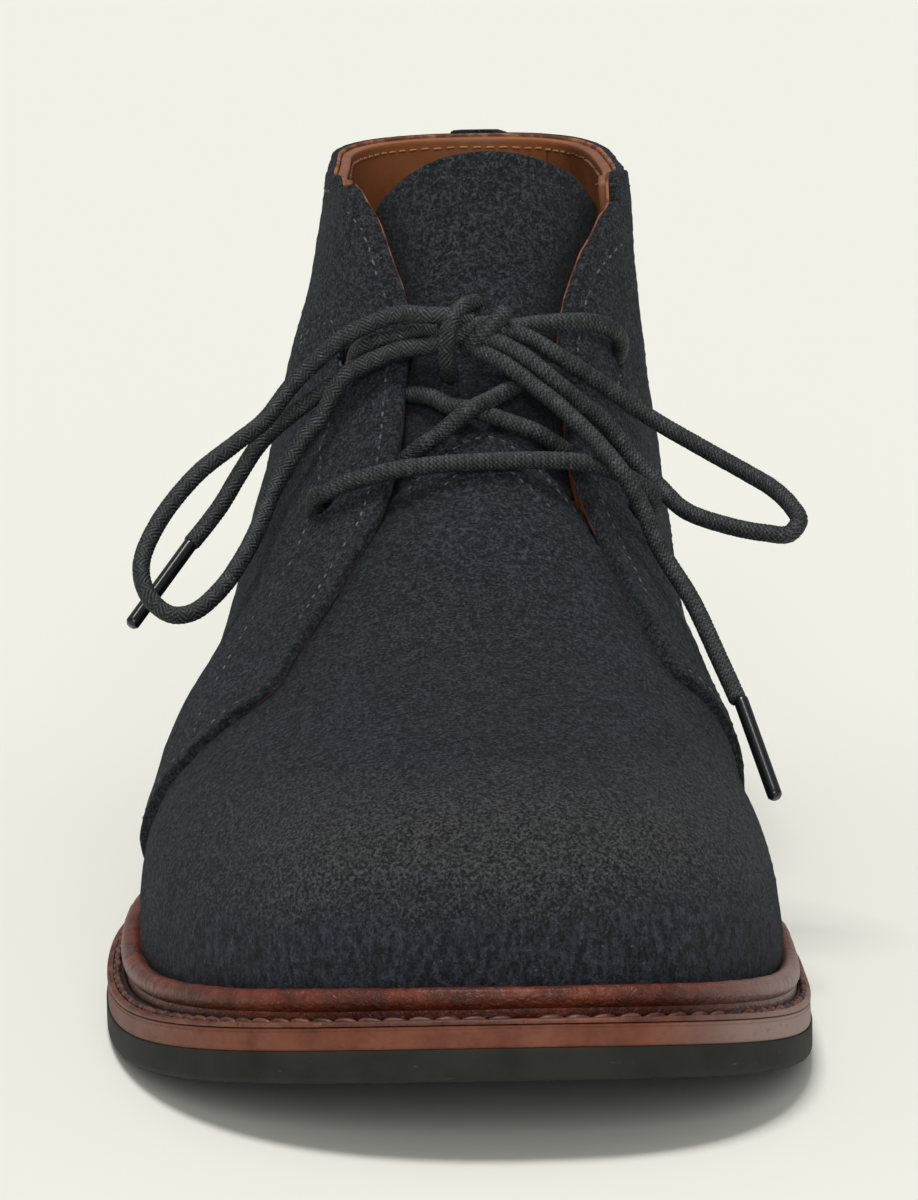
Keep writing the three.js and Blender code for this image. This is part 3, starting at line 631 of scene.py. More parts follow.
def welt_material(name, low, high, shine, wrinkle):
    s = Shader(name)
    tone = s.ramp(s.noise(130, 4, 0.65), 0.34, 0.68)
    base = s.mix(tone, low, high)
    dark = s.ramp(s.noise(480, 4, 0.72), 0.54, 0.70)
    base = s.tint(base, dark, 0.6, (48, 22, 16))
    pale = s.ramp(s.noise(1100, 2, 0.6), 0.66, 0.76)
    base = s.tint(base, pale, 0.35, (180, 130, 100))
    grey = s.math("MULTIPLY", s.ramp(s.axis("X"), 0.030, 0.052), s.ramp(s.axis("Y"), -0.07, -0.11))
    base = s.tint(base, grey, 0.55, (150, 126, 120))
    lines = s.noise(620, 3, 0.7, distortion=1.6)
    fine = s.bump(s.noise(1700, 3, 0.6), 0.4, 0.0002)
    return s.done(Base_Color=base, Roughness=shine, Normal=s.bump(lines, wrinkle, 0.0007, fine),
                  Coat_Weight=0.08, Coat_Roughness=0.3, Specular_IOR_Level=0.35)


def midsole_material():
    s = Shader("midsole_leather")
    x, front = s.axis("X"), s.ramp(s.axis("Y"), -0.06, -0.11)
    sides = s.math("MULTIPLY", s.ramp(s.math("ABSOLUTE", x), 0.034, 0.054), front)
    base = s.mix(s.ramp(s.noise(110, 4, 0.65), 0.32, 0.68), colour(94, 46, 31), colour(122, 70, 50))
    right = s.math("MULTIPLY", s.ramp(x, 0.026, 0.052), front)
    base = s.tint(base, sides, 0.4, (128, 98, 88))
    base = s.tint(base, right, 0.6, (170, 150, 144))
    stain = s.ramp(s.noise(520, 4, 0.7, stretch=(1, 1, 2)), 0.56, 0.70)
    base = s.tint(base, stain, 0.35, (78, 40, 29))
    fine = s.bump(s.noise(900, 3, 0.6, stretch=(1, 1, 2)), 0.35, 0.00025)
    return s.done(Base_Color=base, Roughness=0.6, Normal=fine, Specular_IOR_Level=0.3)


def rubber_material():
    s = Shader("sole_rubber")
    base = s.mix(s.ramp(s.noise(90, 4, 0.6), 0.3, 0.7), colour(25, 25, 22), colour(38, 38, 34))
    scuff = s.ramp(s.noise(700, 3, 0.7, stretch=(0.35, 0.35, 1.6)), 0.66, 0.76)
    base = s.tint(base, scuff, 0.35, (120, 120, 114))
    fine = s.bump(s.noise(2200, 3, 0.6), 0.3, 0.00012)
    return s.done(Base_Color=base, Roughness=0.78, Normal=fine, Specular_IOR_Level=0.3)


def lace_material():
    s = Shader("waxed_lace")
    weave = s.node("ShaderNodeAttribute", attribute_name="weave").outputs["Fac"]
    base = s.mix(s.ramp(s.noise(500, 3, 0.6), 0.35, 0.65), colour(42, 46, 47), colour(64, 69, 70))
    # painted shade in the hollows between the strands
    base = s.mix(s.ramp(weave, 0.95, 0.45, 0.0, 1.0), base, colour(9, 10, 10))
    # painted glints on the tops of the strands
    painted_glint = s.ramp(s.noise(2600, 1, 0.5), 0.62, 0.74)
    painted_glint = s.math("MULTIPLY", painted_glint, s.ramp(weave, 0.5, 0.9))
    base = s.tint(base, painted_glint, 0.8, (112, 118, 118))
    fine = s.bump(s.noise(3000, 2, 0.6), 0.4, 0.00012)
    return s.done(Base_Color=base, Roughness=0.6, Normal=s.bump(weave, 0.6, 0.0002, fine),
                  Specular_IOR_Level=0.4)


def plain_material(name, a, b, rough, scale=800, bump=0.3):
    s = Shader(name)
    base = s.mix(s.ramp(s.noise(scale, 3, 0.6), 0.35, 0.65), a, b)
    fine = s.bump(s.noise(scale * 2, 2, 0.6), bump, 0.00015)
    return s.done(Base_Color=base, Roughness=rough, Normal=fine)


SUEDE = suede_material("suede", colour(29, 33, 43), colour(50, 56, 69), colour(36, 44, 45))
EDGE = edge_material()
LINING = lining_material()
BEAD = welt_material("welt_bead_leather", colour(72, 28, 16), colour(114, 50, 28), 0.4, 0.8)
WELT = welt_material("welt_flat_leather", colour(84, 42, 30), colour(120, 70, 50), 0.55, 0.4)
# the channel's near-black colour is painted shade in the groove under the bead
CHANNEL_SHADE = welt_material("welt_channel_painted_shade", colour(18, 8, 6), colour(44, 20, 14), 0.7, 0.6)
WELT_RAW = plain_material("welt_raw_edge", colour(120, 84, 60), colour(176, 140, 108), 0.8)
MIDSOLE = midsole_material()
RUBBER = rubber_material()
LACE_MATERIAL = lace_material()
# the thread's navy is its own colour; the lighter end of its range is painted highlight
THREAD = plain_material("blue_thread", colour(38, 42, 50), colour(92, 96, 104), 0.8, 260)
DARK_THREAD = plain_material("dark_thread", colour(38, 18, 14), colour(104, 62, 48), 0.5, 420)
TAN_THREAD = plain_material("tan_thread", colour(84, 46, 26), colour(166, 112, 70), 0.7, 60)
GLOSS = plain_material("black_film", colour(14, 15, 17), colour(24, 25, 28), 0.22, 500, 0.05)

# ---------------------------------------------------------------- the laces
LACE_RADIUS, AGLET_RADIUS = 1.5, 1.25
LACE = {
    "bar": [
        (-24.5, 146.5, 73.5), (-24.4, 143, 76.2), (-23.9, 140, 78.2), (-22.4, 138, 79),
        (-18.9, 136.6, 80.7), (-14.3, 135.1, 82.2), (-9.6, 134.1, 83.4), (0.6, 134.1, 84.3),
        (14.1, 135.1, 84.4), (20.5, 136.1, 83.8), (25.9, 138, 82.1), (29.5, 139.4, 80.2),
        (33, 142, 77.2), (33.6, 145.5, 74)],
    "over": [
        (-12.8, 146, 80), (-5.4, 141.4, 86.5), (-3.2, 141.8, 87.9), (2.1, 142, 92.1),
        (6.2, 146, 93.5), (10.7, 150.2, 95.4), (13.4, 153.2, 96.6), (21, 162, 96)],
    "under": [
        (-12.5, 160, 93), (-4.2, 151.2, 93.3), (-1, 148.3, 92.1), (2.4, 145.6, 91.9),
        (9.2, 143.8, 89.7), (13.6, 143.4, 88), (21.5, 148, 82)],
    "knotWrap": [
        (4.2, 157, 108.9), (1.7, 153.5, 108.6), (-0.4, 151.5, 106.5), (-1.3, 151, 102.8),
        (-1.3, 152, 99.2), (-0.5, 155, 96.1)],
    "knotCore": [(-3, 154, 104), (2.7, 153, 105.2), (7, 154, 105.4), (9.6, 155.5, 104.3)],
    "knotFront": [(1.6, 154, 101), (4.6, 151.5, 103.6), (9.3, 153, 108.1)],
    "toUpperMedial": [
        (8.7, 155.5, 104.3), (13.1, 157, 104.8), (18.3, 158, 105.1), (23.6, 161, 104.6),
        (27.2, 164, 103), (28.9, 168, 100.5), (28.4, 173, 96.5)],
    "toUpperLateral": [
        (-2, 155, 104.3), (-5.9, 157.5, 104), (-10.3, 158.8, 102.8), (-14.2, 159.5, 101.8),
        (-16.9, 163.2, 99.8), (-17.2, 168, 95.5), (-15, 173, 90.5)],
    "lateralLoop": [
        (3.4, 153.4, 105.8), (-0.6, 152.6, 107.0), (-4.8, 153, 107.2), (-9.3, 156.5, 107.1),
        (-18, 158.5, 103.6), (-23.3, 160, 99.3), (-28.2, 160, 94.7), (-32.9, 156, 89.2),
        (-38, 151, 85.8), (-44.5, 146, 81.3), (-50.9, 140, 74), (-53.6, 134, 67.5),
        (-52.2, 131, 62.8), (-48.7, 130, 60), (-44.9, 131, 60.1), (-40.4, 134, 63.3),
        (-36.7, 139, 67.8), (-34.1, 145, 72.1), (-31, 152, 78.6), (-26.6, 154.5, 85.5),
        (-23.2, 155.5, 89.6), (-19, 157, 96.3), (-9.4, 155, 101.1), (-4.8, 153, 101.9),
        (-0.6, 152.8, 103.2), (2.8, 153.6, 104.2)],
    "lateralEnd": [
        (-5.5, 157, 101.5), (-11, 158.6, 99.8), (-17.5, 160, 97), (-23.1, 160.5, 93.3),
        (-27, 161.5, 90.5), (-31.4, 161.5, 87), (-34.4, 160, 84.1), (-37.7, 158, 79.4),
        (-40.8, 155.5, 74.6), (-43.6, 153, 71.2), (-46.1, 150.5, 68.5)],
    "lateralAglet": [(-45.7, 151, 69.0), (-56, 140, 56.4)],
    "medialLoop": [
        (4.6, 153.2, 104.0), (8.6, 153.4, 104.2), (12.6, 153.5, 103), (18, 152.5, 99.7),
        (24.2, 155, 95.3), (33.4, 158, 88.3), (42.4, 153, 83.4), (49.6, 146, 80), (53.8, 140, 78),
        (56.5, 135, 75.7), (57.5, 132, 73.7), (55.7, 131, 71.7), (51.7, 132, 71.8),
        (46.1, 136, 72.4), (38.8, 143, 74.2), (34.8, 149, 77.4), (30, 151.5, 82.3),
        (25.6, 151.5, 88.3), (21, 149.5, 92.4), (18.1, 148.1, 95.1), (11.7, 149.6, 100.3),
        (7.4, 151, 102.6), (3.6, 152.8, 103.8)],
    "medialEnd": [
        (3.2, 152.4, 101.6), (6.2, 150.4, 100.4), (9.8, 148.4, 98.2), (13.6, 147, 95.3),
        (17.8, 143, 92.3), (23.6, 137, 87.1), (27.8, 132.6, 82.4), (30.8, 132.6, 77),
        (34, 130.5, 69.6), (39, 125, 61.7), (43.2, 117, 52.9), (46, 111, 46.9)],
    "medialAglet": [(46.2, 111.7, 47.5), (51.2, 98, 33.3)],
}


weaves = []


def weave_on(obj):
    """Give a lace piece the woven height of its tubes, for its material."""
    layer = obj.data.attributes.new("weave", "FLOAT", "POINT")
    layer.data.foreach_set("value", np.concatenate(weaves).astype(np.float32))
    weaves.clear()
    return obj


def curve_points(path, spacing):
    """Points the same distance apart on a centripetal curve through a path."""
    p = np.array(path, float)
    if len(p) == 2:
        fine = p[0] + (p[1] - p[0]) * np.linspace(0, 1, 200)[:, None]
    else:
        p = np.concatenate([[2 * p[0] - p[1]], p, [2 * p[-1] - p[-2]]])
        parts = []
        for i in range(1, len(p) - 2):
            a, b, c, d = p[i - 1:i + 3]
            t0 = 0.0
            t1 = t0 + np.linalg.norm(b - a) ** 0.5
            t2 = t1 + np.linalg.norm(c - b) ** 0.5
            t3 = t2 + np.linalg.norm(d - c) ** 0.5
            t = np.linspace(t1, t2, 60, endpoint=i == len(p) - 3)[:, None]
            ab = (t1 - t) / (t1 - t0) * a + (t - t0) / (t1 - t0) * b
            bc = (t2 - t) / (t2 - t1) * b + (t - t1) / (t2 - t1) * c
            cd = (t3 - t) / (t3 - t2) * c + (t - t2) / (t3 - t2) * d
            abc = (t2 - t) / (t2 - t0) * ab + (t - t0) / (t2 - t0) * bc
            bcd = (t3 - t) / (t3 - t1) * bc + (t - t1) / (t3 - t1) * cd
            parts.append((t2 - t) / (t2 - t1) * abc + (t - t1) / (t2 - t1) * bcd)
        fine = np.concatenate(parts)
    length = np.concatenate([[0], np.cumsum(np.linalg.norm(np.diff(fine, axis=0), axis=1))])
    count = max(2, int(round(length[-1] / spacing)) + 1)
    places = np.linspace(0, length[-1], count)
    return np.stack([np.interp(places, length, fine[:, k]) for k in range(3)], 1), length[-1]


def tube(path, radius, spacing=0.26, sides=40, braid=0.16, ends=0.5):
    """A round cord along a path; braid raises its woven strands."""
    points, length = curve_points(path, spacing)
    tangent = np.gradient(points, axis=0)
    tangent /= np.linalg.norm(tangent, axis=1, keepdims=True)
    side = np.cross(tangent[0], [0.3, 0.2, 1.0])
    side /= np.linalg.norm(side)
    sides_of = []
    for t in tangent:
        side = side - t * (side @ t)
        side /= np.linalg.norm(side)
        sides_of.append(side)
    u = np.array(sides_of)
    v = np.cross(tangent, u)
    run = np.linspace(0, length, len(points))[:, None]
    angle = np.arange(sides) / sides * 2 * math.pi
    strands, pitch = 10, 8.5
    one = strands * angle / (2 * math.pi) + run / pitch * strands
    two = strands * angle / (2 * math.pi) - run / pitch * strands
    over = np.cos(math.pi * (one + two) / 1.0) * np.cos(math.pi * (one - two) / 1.0) > 0
    ridge = np.where(over, np.abs(np.cos(math.pi * one)), np.abs(np.cos(math.pi * two)))
    from_end = np.minimum(run, length - run)
    taper = 1 - ends * (1 - np.sqrt(1 - np.clip(1 - from_end / 0.7, 0, 1) ** 2))
    r = (radius - braid + braid * 1.2 * ridge) * taper
    weaves.append(ridge.ravel())
    rings = points[:, None] + (np.cos(angle)[None, :, None] * u[:, None]
                               + np.sin(angle)[None, :, None] * v[:, None]) * r[..., None]
    return (*loft(rings), points, length)


def join(parts):
    points, faces, base = [], [], 0
    for p, f in parts:
        points.append(p)
        faces += [[i + base for i in face] for face in f]
        base += len(p)
    return np.concatenate(points), faces


def lace_piece(name, routes, node):
    parts = [tube(LACE[route], LACE_RADIUS)[:2] for route in routes]
    return weave_on(add_piece(name, *join(parts), [LACE_MATERIAL], "lace", (node,)))


lace_piece("lace_bar_braid", ["bar"], "lace_bar")
lace_piece("lace_crossing_braid", ["over", "under"], "lace_crossing")
lace_piece("lace_knot_braid", ["knotCore", "knotWrap", "knotFront", "toUpperMedial",
                               "toUpperLateral"], "lace_knot")


def aglet_piece(name, route, node):
    points, faces, _, _ = tube(LACE[route], AGLET_RADIUS, 0.5, 24, 0.0, 0.35)
    weaves.clear()
    return add_piece(name, points, faces, [GLOSS], "aglet", (node,))


AGLETS = {
    "lateral": aglet_piece("aglet_lateral_film", "lateralAglet", "aglet_lateral"),
    "medial": aglet_piece("aglet_medial_film", "medialAglet", "aglet_medial"),
}
CORDS = (
    ("lace_loop_lateral_braid", "lateralLoop", "lace_loop_lateral", "object", ()),
    ("lace_loop_medial_braid", "medialLoop", "lace_loop_medial", "object", ()),
    ("lace_end_lateral_braid", "lateralEnd", "lace_end_lateral", "fitting", (AGLETS["lateral"],)),
    ("lace_end_medial_braid", "medialEnd", "lace_end_medial", "fitting", (AGLETS["medial"],)),
)
for cord_name, route, cad_node, far_end, with_pieces in CORDS:
    cord_points, cord_faces, centre_line, cord_length = tube(LACE[route], LACE_RADIUS)
    cord_obj = weave_on(add_piece(cord_name, cord_points, cord_faces, [LACE_MATERIAL], "lace",
                                  (cad_node,)))

# ---------------------------------------------------------------- creases and the leathers
# soft troughs (negative) and ridges, each along a straight line between two places; the widest
# ones fill out the sides of the form
CREASES = table(
    "x0 at0 z0 x1 at1 z1 width depth",
    (-14, 131, 79, 22, 131, 80, 3.5, -0.5),
    (-20, 123, 72, 26, 122, 73, 6.0, 0.35),
    (-30, 86, 50, -4, 92, 60, 7.0, -0.45),
    (12, 90, 61, 38, 92, 54, 7.0, -0.4),
    (-40, 78, 38, -12, 74, 56, 8.0, 0.4),
    (22, 72, 56, 44, 76, 40, 8.0, 0.35),
    (14, 13, 38, 34, 24, 38, 5.0, -0.55),
    (-20, 16, 36, 8, 11, 38, 6.0, -0.3),
    (-8, 30, 51, 34, 32, 50, 8.0, 0.3),
    (-42, 128, 62, -47, 112, 40, 3.5, -0.5),
    (-39, 134, 58, -43, 120, 38, 3.5, 0.4),
    (-36, 150, 74, -43, 140, 44, 4.0, -0.5),
    (-41, 150, 72, -45, 126, 50, 16.0, 2.6),
    (38, 150, 74, 47, 116, 48, 15.0, 2.9),
    (28, 196, 120, 32, 164, 96, 15.0, 1.5),
    (-51, 66, 34, -50, 112, 34, 15.0, 1.2),
    (46, 40, 34, 50, 84, 34, 13.0, 0.8),
    (41, 140, 66, 46, 124, 44, 4.0, -0.4),
    (38, 150, 70, 43, 136, 48, 5.0, 0.4),
    (-26, 176, 92, -34, 200, 66, 6.0, -0.5),
    (31, 178, 90, 37, 204, 64, 6.0, -0.5),
    (-22, 190, 112, -24, 232, 100, 7.0, -0.5),
    (29, 192, 112, 30, 236, 100, 7.0, -0.5),
)


def crease(points):
    out = np.zeros(points.shape[:-1])
    for i in range(len(CREASES["x0"])):
        row = {key: values[i] for key, values in CREASES.items()}
        a = np.array([row["x0"], row["at0"], row["z0"]])
        b = np.array([row["x1"], row["at1"], row["z1"]])
        t = np.clip(((points - a) @ (b - a)) / ((b - a) @ (b - a)), 0, 1)
        away = np.linalg.norm(points - (a + t[..., None] * (b - a)), axis=-1)
        out += row["depth"] * np.exp(-(away / row["width"]) ** 2)
    return out


def waves(points, seed, size, depth):
    """Slow uneven waves, the same each run."""
    rng = np.random.default_rng(seed)
    out = np.zeros(points.shape[:-1])
    for _ in range(14):
        direction = rng.normal(size=3)
        direction /= np.linalg.norm(direction) * size * rng.uniform(0.7, 1.5)
        out += np.sin(points @ direction * 2 * math.pi + rng.uniform(0, 6.3))
    return out * depth / 14 ** 0.5


FINE = Grid(30, 190, 230)
x_, at_, z_ = np.moveaxis(FINE.points, -1, 0)
F = fields(FINE)
nap_rng = np.random.default_rng(21)
NAP = nap_rng.normal(0, 0.055, FINE.points.shape[:2])
RELIEF = crease(FINE.points) + waves(FINE.points, 3, 16, 0.10) + waves(FINE.points, 5, 5, 0.035) + NAP
foot = F["foot"]

# the vamp: ahead of the quarters and on under them, up to its curved end on the tongue
under = smooth((F["cover"] + 0.6) / 1.4)
vamp_top = RELIEF * (1 - 0.8 * under) - 0.42 * under - 0.9 * smooth(1 - F["arc"] / 9)
vamp_field = least(7 - F["cover"], F["arc"], foot - 2.2)
vamp_shade = 0.62 * np.exp(np.minimum(F["cover"], 0) / 3.2)
shell(FINE, vamp_field, vamp_top, -1.35 - 0.9 * smooth(1 - F["arc"] / 9),
      [SUEDE, SUEDE, SUEDE], "vamp_suede", "suede", shade=vamp_shade)

# the quarters lie over the vamp, round the heel and up to the topline
quarter_top = 0.35 + (QUARTER_PROUD - 0.35) * smooth((foot - 4) / 11) + RELIEF * 0.9


quarter_low = np.full(foot.shape, -0.36)
skived = smooth((4 - F["throat"]) / 4) * smooth((z_ - 84) / 14) * (F["seam"] > 3)
quarter_top = quarter_top - 0.95 * skived
collar_edge = soft_min(F["cover"], F["top"], 1.6)
quarter_field = least(collar_edge, F["holes"], foot - 2.2)
edge_shade = 0.45 * smooth((1.6 - F["cover"]) / 1.6) * smooth((104 - z_) / 12)
shell(FINE, quarter_field, quarter_top, quarter_low, [SUEDE, EDGE, EDGE], "quarters_suede", "suede",
      ("upper",), shade=edge_shade)

# the lining
COARSE = Grid(14, 90, 110)
C = fields(COARSE)
lining_field = least(np.maximum(C["throat"] - 2.2, C["arc"] - 4.0), C["top"] - 0.5,
                     C["foot"] - 0.6, C["holes"])
lining_top = -0.45 - 1.5 * smooth((9.0 - C["cover"]) / 2.0) * smooth((C["arc"] + 6) / 3)
shell(COARSE, lining_field, lining_top, np.minimum(lining_top - 0.3, -WALL), [LINING, LINING, LINING],
      "lining_leather", "lining", turn=0.3)

# the tongue
tongue_side = np.abs(x_ - RIDGE_X - 1.2)
half = np.clip(tongue_side / TONGUE_HALF_WIDTH, 0, 1)
dome = TONGUE_TOP_Z - TONGUE_CROWN + TONGUE_CROWN * np.sqrt(1 - half ** 2)
tongue_field = least(FINE.even(dome - z_), FINE.even(TONGUE_HALF_WIDTH - tongue_side),
                     z_ - TONGUE_ROOT_Z, (192 - at_) * 0.8)
tongue_relief = waves(FINE.points, 11, 22, 0.12) + NAP
tongue_out = -WALL - FIT_GAP + tongue_relief
shell(FINE, tongue_field, tongue_out, np.full(foot.shape, -WALL - FIT_GAP - TONGUE_THICK + 0.4),
      [SUEDE, SUEDE, LINING], "tongue_suede", "suede", ("tongue",), turn=0.7,
      shade=0.7 * np.exp(np.minimum(F["throat"], 0) / 2.6) * (z_ < 126)
      + 0.35 * smooth((103 - z_) / 12) * (F["throat"] < -2.6))

# a narrow strip down the back, standing a little above the topline
stay_half = 5.6 + 2.4 * smooth((120 - z_) / 100)
stay_side = stay_half - np.abs(x_ - RIDGE_X - 0.5)
stay_field = least(stay_side, (at_ - 262) * 0.5,
                   FINE.even(column(TOPLINE, "z", at_) - z_) + 0.5, foot - 4.5)
shell(FINE, stay_field, quarter_top + 0.95, quarter_top - 0.25, [SUEDE, SUEDE, SUEDE],
      "backstay_suede", "suede")


# ---------------------------------------------------------------- stitches
def rows_along(grid, field, level, allowed, height):
    """Points, tangents and normals where a field crosses a level and allowed is above zero."""
    data = np.concatenate([grid.points, grid.normals, allowed[..., None], height[..., None]], -1)
    data, triangles = clip(data.reshape(-1, 8), grid.triangles, (field - level).ravel())
    runs = []
    for loop in edge_loops(triangles):
        rows = data[loop]
        keep = rows[:, 6] > 0
        if not keep.any():
            continue
        if not keep.all():
            first = int(np.argmax(~keep))
            rows, keep = np.roll(rows, -first, 0), np.roll(keep, -first)
        edges = np.flatnonzero(np.diff(np.concatenate([[0], keep.astype(int), [0]])))
        for a, b in zip(edges[::2], edges[1::2]):
            if b - a > 3:
                runs.append(rows[a:b])
    return runs


def stitches(name, runs, material, slot, pitch=2.6, length=1.7, radius=0.24, sink=0.08, wobble=0.06,
             tilt=0.0, seed=1):
    rng = np.random.default_rng(seed)
    parts = []
    ring = np.arange(7) / 7 * 2 * math.pi
    bow = np.array([-1, -0.82, -0.45, 0, 0.45, 0.82, 1])
    swell = np.array([0.25, 0.75, 0.97, 1, 0.97, 0.75, 0.25])
    for rows in runs:
        p, n, height = rows[:, :3], rows[:, 3:6], rows[:, 7:8]
        p = p + n * (height - sink)
        run = np.concatenate([[0], np.cumsum(np.linalg.norm(np.diff(p, axis=0), axis=1))])
        for at in np.arange(pitch / 2, run[-1] - pitch / 2, pitch):
            def pick(values, where):
                return np.array([np.interp(where, run, values[:, k]) for k in range(3)])
            centre, normal = pick(p, at), pick(n, at)
            normal /= np.linalg.norm(normal)
            along = pick(p, min(at + 0.8, run[-1])) - pick(p, max(at - 0.8, 0))
            along -= normal * (along @ normal)
            along /= np.linalg.norm(along) + 1e-9
            side = np.cross(normal, along)
            along = along + side * (tilt + rng.normal(0, 0.04))
            along /= np.linalg.norm(along)
            side = np.cross(normal, along)
            centre = centre + side * rng.normal(0, wobble)
            spine = centre + along * (bow * length / 2)[:, None] - normal * (0.28 * bow ** 2)[:, None]
            rings = spine[:, None] + (side * np.cos(ring)[:, None] + normal * np.sin(ring)[:, None]
                                      )[None] * (swell * radius)[:, None, None]
            parts.append(loft(rings))
    if parts:
        add_piece(name, *join(parts), [material], slot)


# rows that start at the upper's low part are cut off above the floor side of the last
facing_part = least(F["holes"] - 0.8, F["top"] - 2.6, F["seam"] - 3.4, 186 - at_, z_ - 60)
stitches("facing_stitches", rows_along(FINE, F["throat"], 3.4, facing_part, quarter_top), THREAD,
         "suede", seed=2)
seam_part = least(F["throat"] - 3.4, foot - 8)
stitches("seam_stitches", rows_along(FINE, F["seam"], 2.6, seam_part, quarter_top), THREAD,
         "suede", seed=3)
second_part = least(F["top"] - 3.4, foot - 34, F["seam"] - 4, 215 - at_)
stitches("second_facing_stitches", rows_along(FINE, F["throat"], 19.0, second_part, quarter_top),
         THREAD, "suede", seed=4)
collar_part = least(F["throat"] - 3.4, np.abs(x_ - 5.5) - 6.6 + 60 * (at_ < 262))
stitches("collar_stitches", rows_along(FINE, F["top"], 3.0, collar_part, quarter_top), THREAD,
         "suede", seed=5)
cx, cat, cz = np.moveaxis(COARSE.points, -1, 0)
stitches("lining_stitches",
         rows_along(COARSE, C["top"], 2.3, C["throat"] - 1.0, np.full(cz.shape, -WALL - 0.12)),
         TAN_THREAD, "lining", sink=0.0, radius=0.26, seed=6)
lining_seam_part = least(cat - 225, C["top"] - 1.6, cz - 60)
stitches("lining_seam",
         rows_along(COARSE, cx - 20.5, 0, lining_seam_part, np.full(cz.shape, -WALL - 0.03)),
         DARK_THREAD, "lining", pitch=1.5, length=1.9, radius=0.22, sink=0.0, wobble=0.0, seed=14)
for row_number, (level, inset) in enumerate(((1.6, 1.2), (8.2, 7.0))):
    vamp_end_part = least(-F["throat"] - inset, 190 - at_, z_ - 60)
    stitches(f"vamp_end_stitches_{row_number}",
             rows_along(FINE, F["arc"], level, vamp_end_part, vamp_top), THREAD, "suede",
             pitch=2.2, length=1.6, radius=0.25, seed=7 + row_number)
stay_part = least(at_ - 268, F["top"] - 1, foot - 8)
stitches("backstay_stitches", rows_along(FINE, stay_side, 1.5, stay_part, quarter_top + 0.95),
         THREAD, "suede", seed=9)


# ---------------------------------------------------------------- the sole
def plate(name, margin, top_z, low_z, edge, materials, slot, node, count=900, columns=44, tread=None):
    """A layer of the sole: its edge rows are (inset, height from the low side)."""
    rings = []
    for inset, height in edge:
        loop = even_loop(grown_loop(lambda at, side: margin(at, side) - inset), count)
        rings.append(np.column_stack([loop, low_z(loop[:, 1]) + height]))
    rings = np.array(rings)
    points, faces = loft(rings, caps=False)
    points, faces = [points], [list(face) for face in faces]
    base = rings.size // 3
    for z_of, up in ((low_z, False), (top_z, True)):
        ring = rings[-1 if up else 0]
        start = 0 if not up else (len(rings) - 1) * count
        mirror = (count - np.arange(count)) % count
        half_count = count // 2
        left = ring[1:half_count]
        right = ring[mirror[1:half_count]]
        t = np.linspace(0, 1, columns + 1)[1:-1]
        inner = mix(left[:, None], right[:, None], t[None, :, None])
        inner[..., 2] = z_of(inner[..., 1])
        if tread is not None and not up:
            inner[..., 2] += tread(inner[..., 0], inner[..., 1])
        size = len(t)
        ids = base + np.arange(inner.shape[0] * size).reshape(inner.shape[0], size)
        base += inner.shape[0] * size
        points.append(inner.reshape(-1, 3))
        full = np.concatenate([(start + np.arange(1, half_count))[:, None], ids,
                               (start + mirror[1:half_count])[:, None]], 1)
        a, b, c, d = full[:-1, :-1], full[1:, :-1], full[1:, 1:], full[:-1, 1:]
        quads = np.stack([a, b, c, d], -1).reshape(-1, 4)
        faces += (quads[:, ::-1] if not up else quads).tolist()
        for row, end in ((full[0], start), (full[-1], start + half_count)):
            for k in range(len(row) - 1):
                pair = [int(row[k]), int(row[k + 1]), int(end)]
                flip = (row is full[0]) == up
                faces.append(pair if not flip else pair[::-1])
    return add_piece(name, np.concatenate(points), faces, materials, slot, (node,) if node else ())


def tread(x, at):
    """Fine grooves cut up into the walking side, kept off its edges."""
    lines = smooth(np.abs(np.sin(at * math.pi / 4.2)) * 3 - 1.6)
    inside = smooth((52 - np.abs(x - RIDGE_X / 2)) / 3)
    return 0.45 * (1 - lines) * inside


OUTSOLE_EDGE = [(2.2, 0.0), (1.3, 0.02), (0.8, 0.12), (0.4, 0.32), (0.14, 0.62), (0.02, 1.0), (0, 1.5),
                (0, 2.6), (0.0, 3.8), (0.0, 4.7), (0.06, 4.88), (0.6, 4.9)]
plate("outsole_rubber", sole_margin, lambda at: underside(at) + OUTSOLE_THICK, underside, OUTSOLE_EDGE,
      [RUBBER], "rubber", "outsole", tread=tread)
MIDSOLE_EDGE = [(0.7, -0.28), (0.1, -0.27), (0, -0.12), (0, 0.3), (0, 1.0), (0, 1.8), (0.02, 2.35),
                (0.02, 2.62), (0.16, 2.74), (0, 2.86), (0, 3.05), (0.12, 3.2), (0.8, 3.24)]
plate("midsole_leather", lambda at, side: sole_margin(at, side) - MIDSOLE_INSET * 0.5,
      lambda at: underside(at) + MIDSOLE_BASE + MIDSOLE_THICK, lambda at: underside(at) + MIDSOLE_BASE,
      MIDSOLE_EDGE, [MIDSOLE], "sole_leather", "midsole", columns=8)


HEEL_EDGE = [(2.0, 0), (1.2, 0.02), (0.6, 0.18), (0.2, 0.5), (0, 1.2), (0, 5.6), (0.3, 5.9), (0, 6.2),
             (0, 15), (0.15, 15.5), (0.5, HEEL_LIFT - GAP)]
BREAST_SETBACK, BREAST_HOLLOW = 4, 5


def heel():
    """The heel block, with a hollowed front."""
    loop = even_loop(SOLE_LOOP, 900)
    breast = HEEL_BREAST + BREAST_SETBACK
    back = loop[loop[:, 1] > breast]
    first, last = back[0], back[-1]
    t = np.linspace(0, 1, 40)[1:-1]
    front = mix(last, first, t[:, None])
    from_end = np.clip(np.minimum(t, 1 - t) * 12, 0, 1)
    front[:, 1] += BREAST_HOLLOW * np.cos(front[:, 0] / 64 * 1.4) * from_end
    outline = np.concatenate([back, front])
    centre = outline.mean(0)
    rings = []
    for inset, z in HEEL_EDGE:
        arm = outline - centre
        size = np.linalg.norm(arm, axis=1, keepdims=True)
        rings.append(np.column_stack([centre + arm * (1 - inset / size), np.full(len(outline), z)]))
    points, faces = loft(np.array(rings))
    add_piece("heel_rubber", points, faces, [RUBBER], "rubber", ("heel",))


heel()


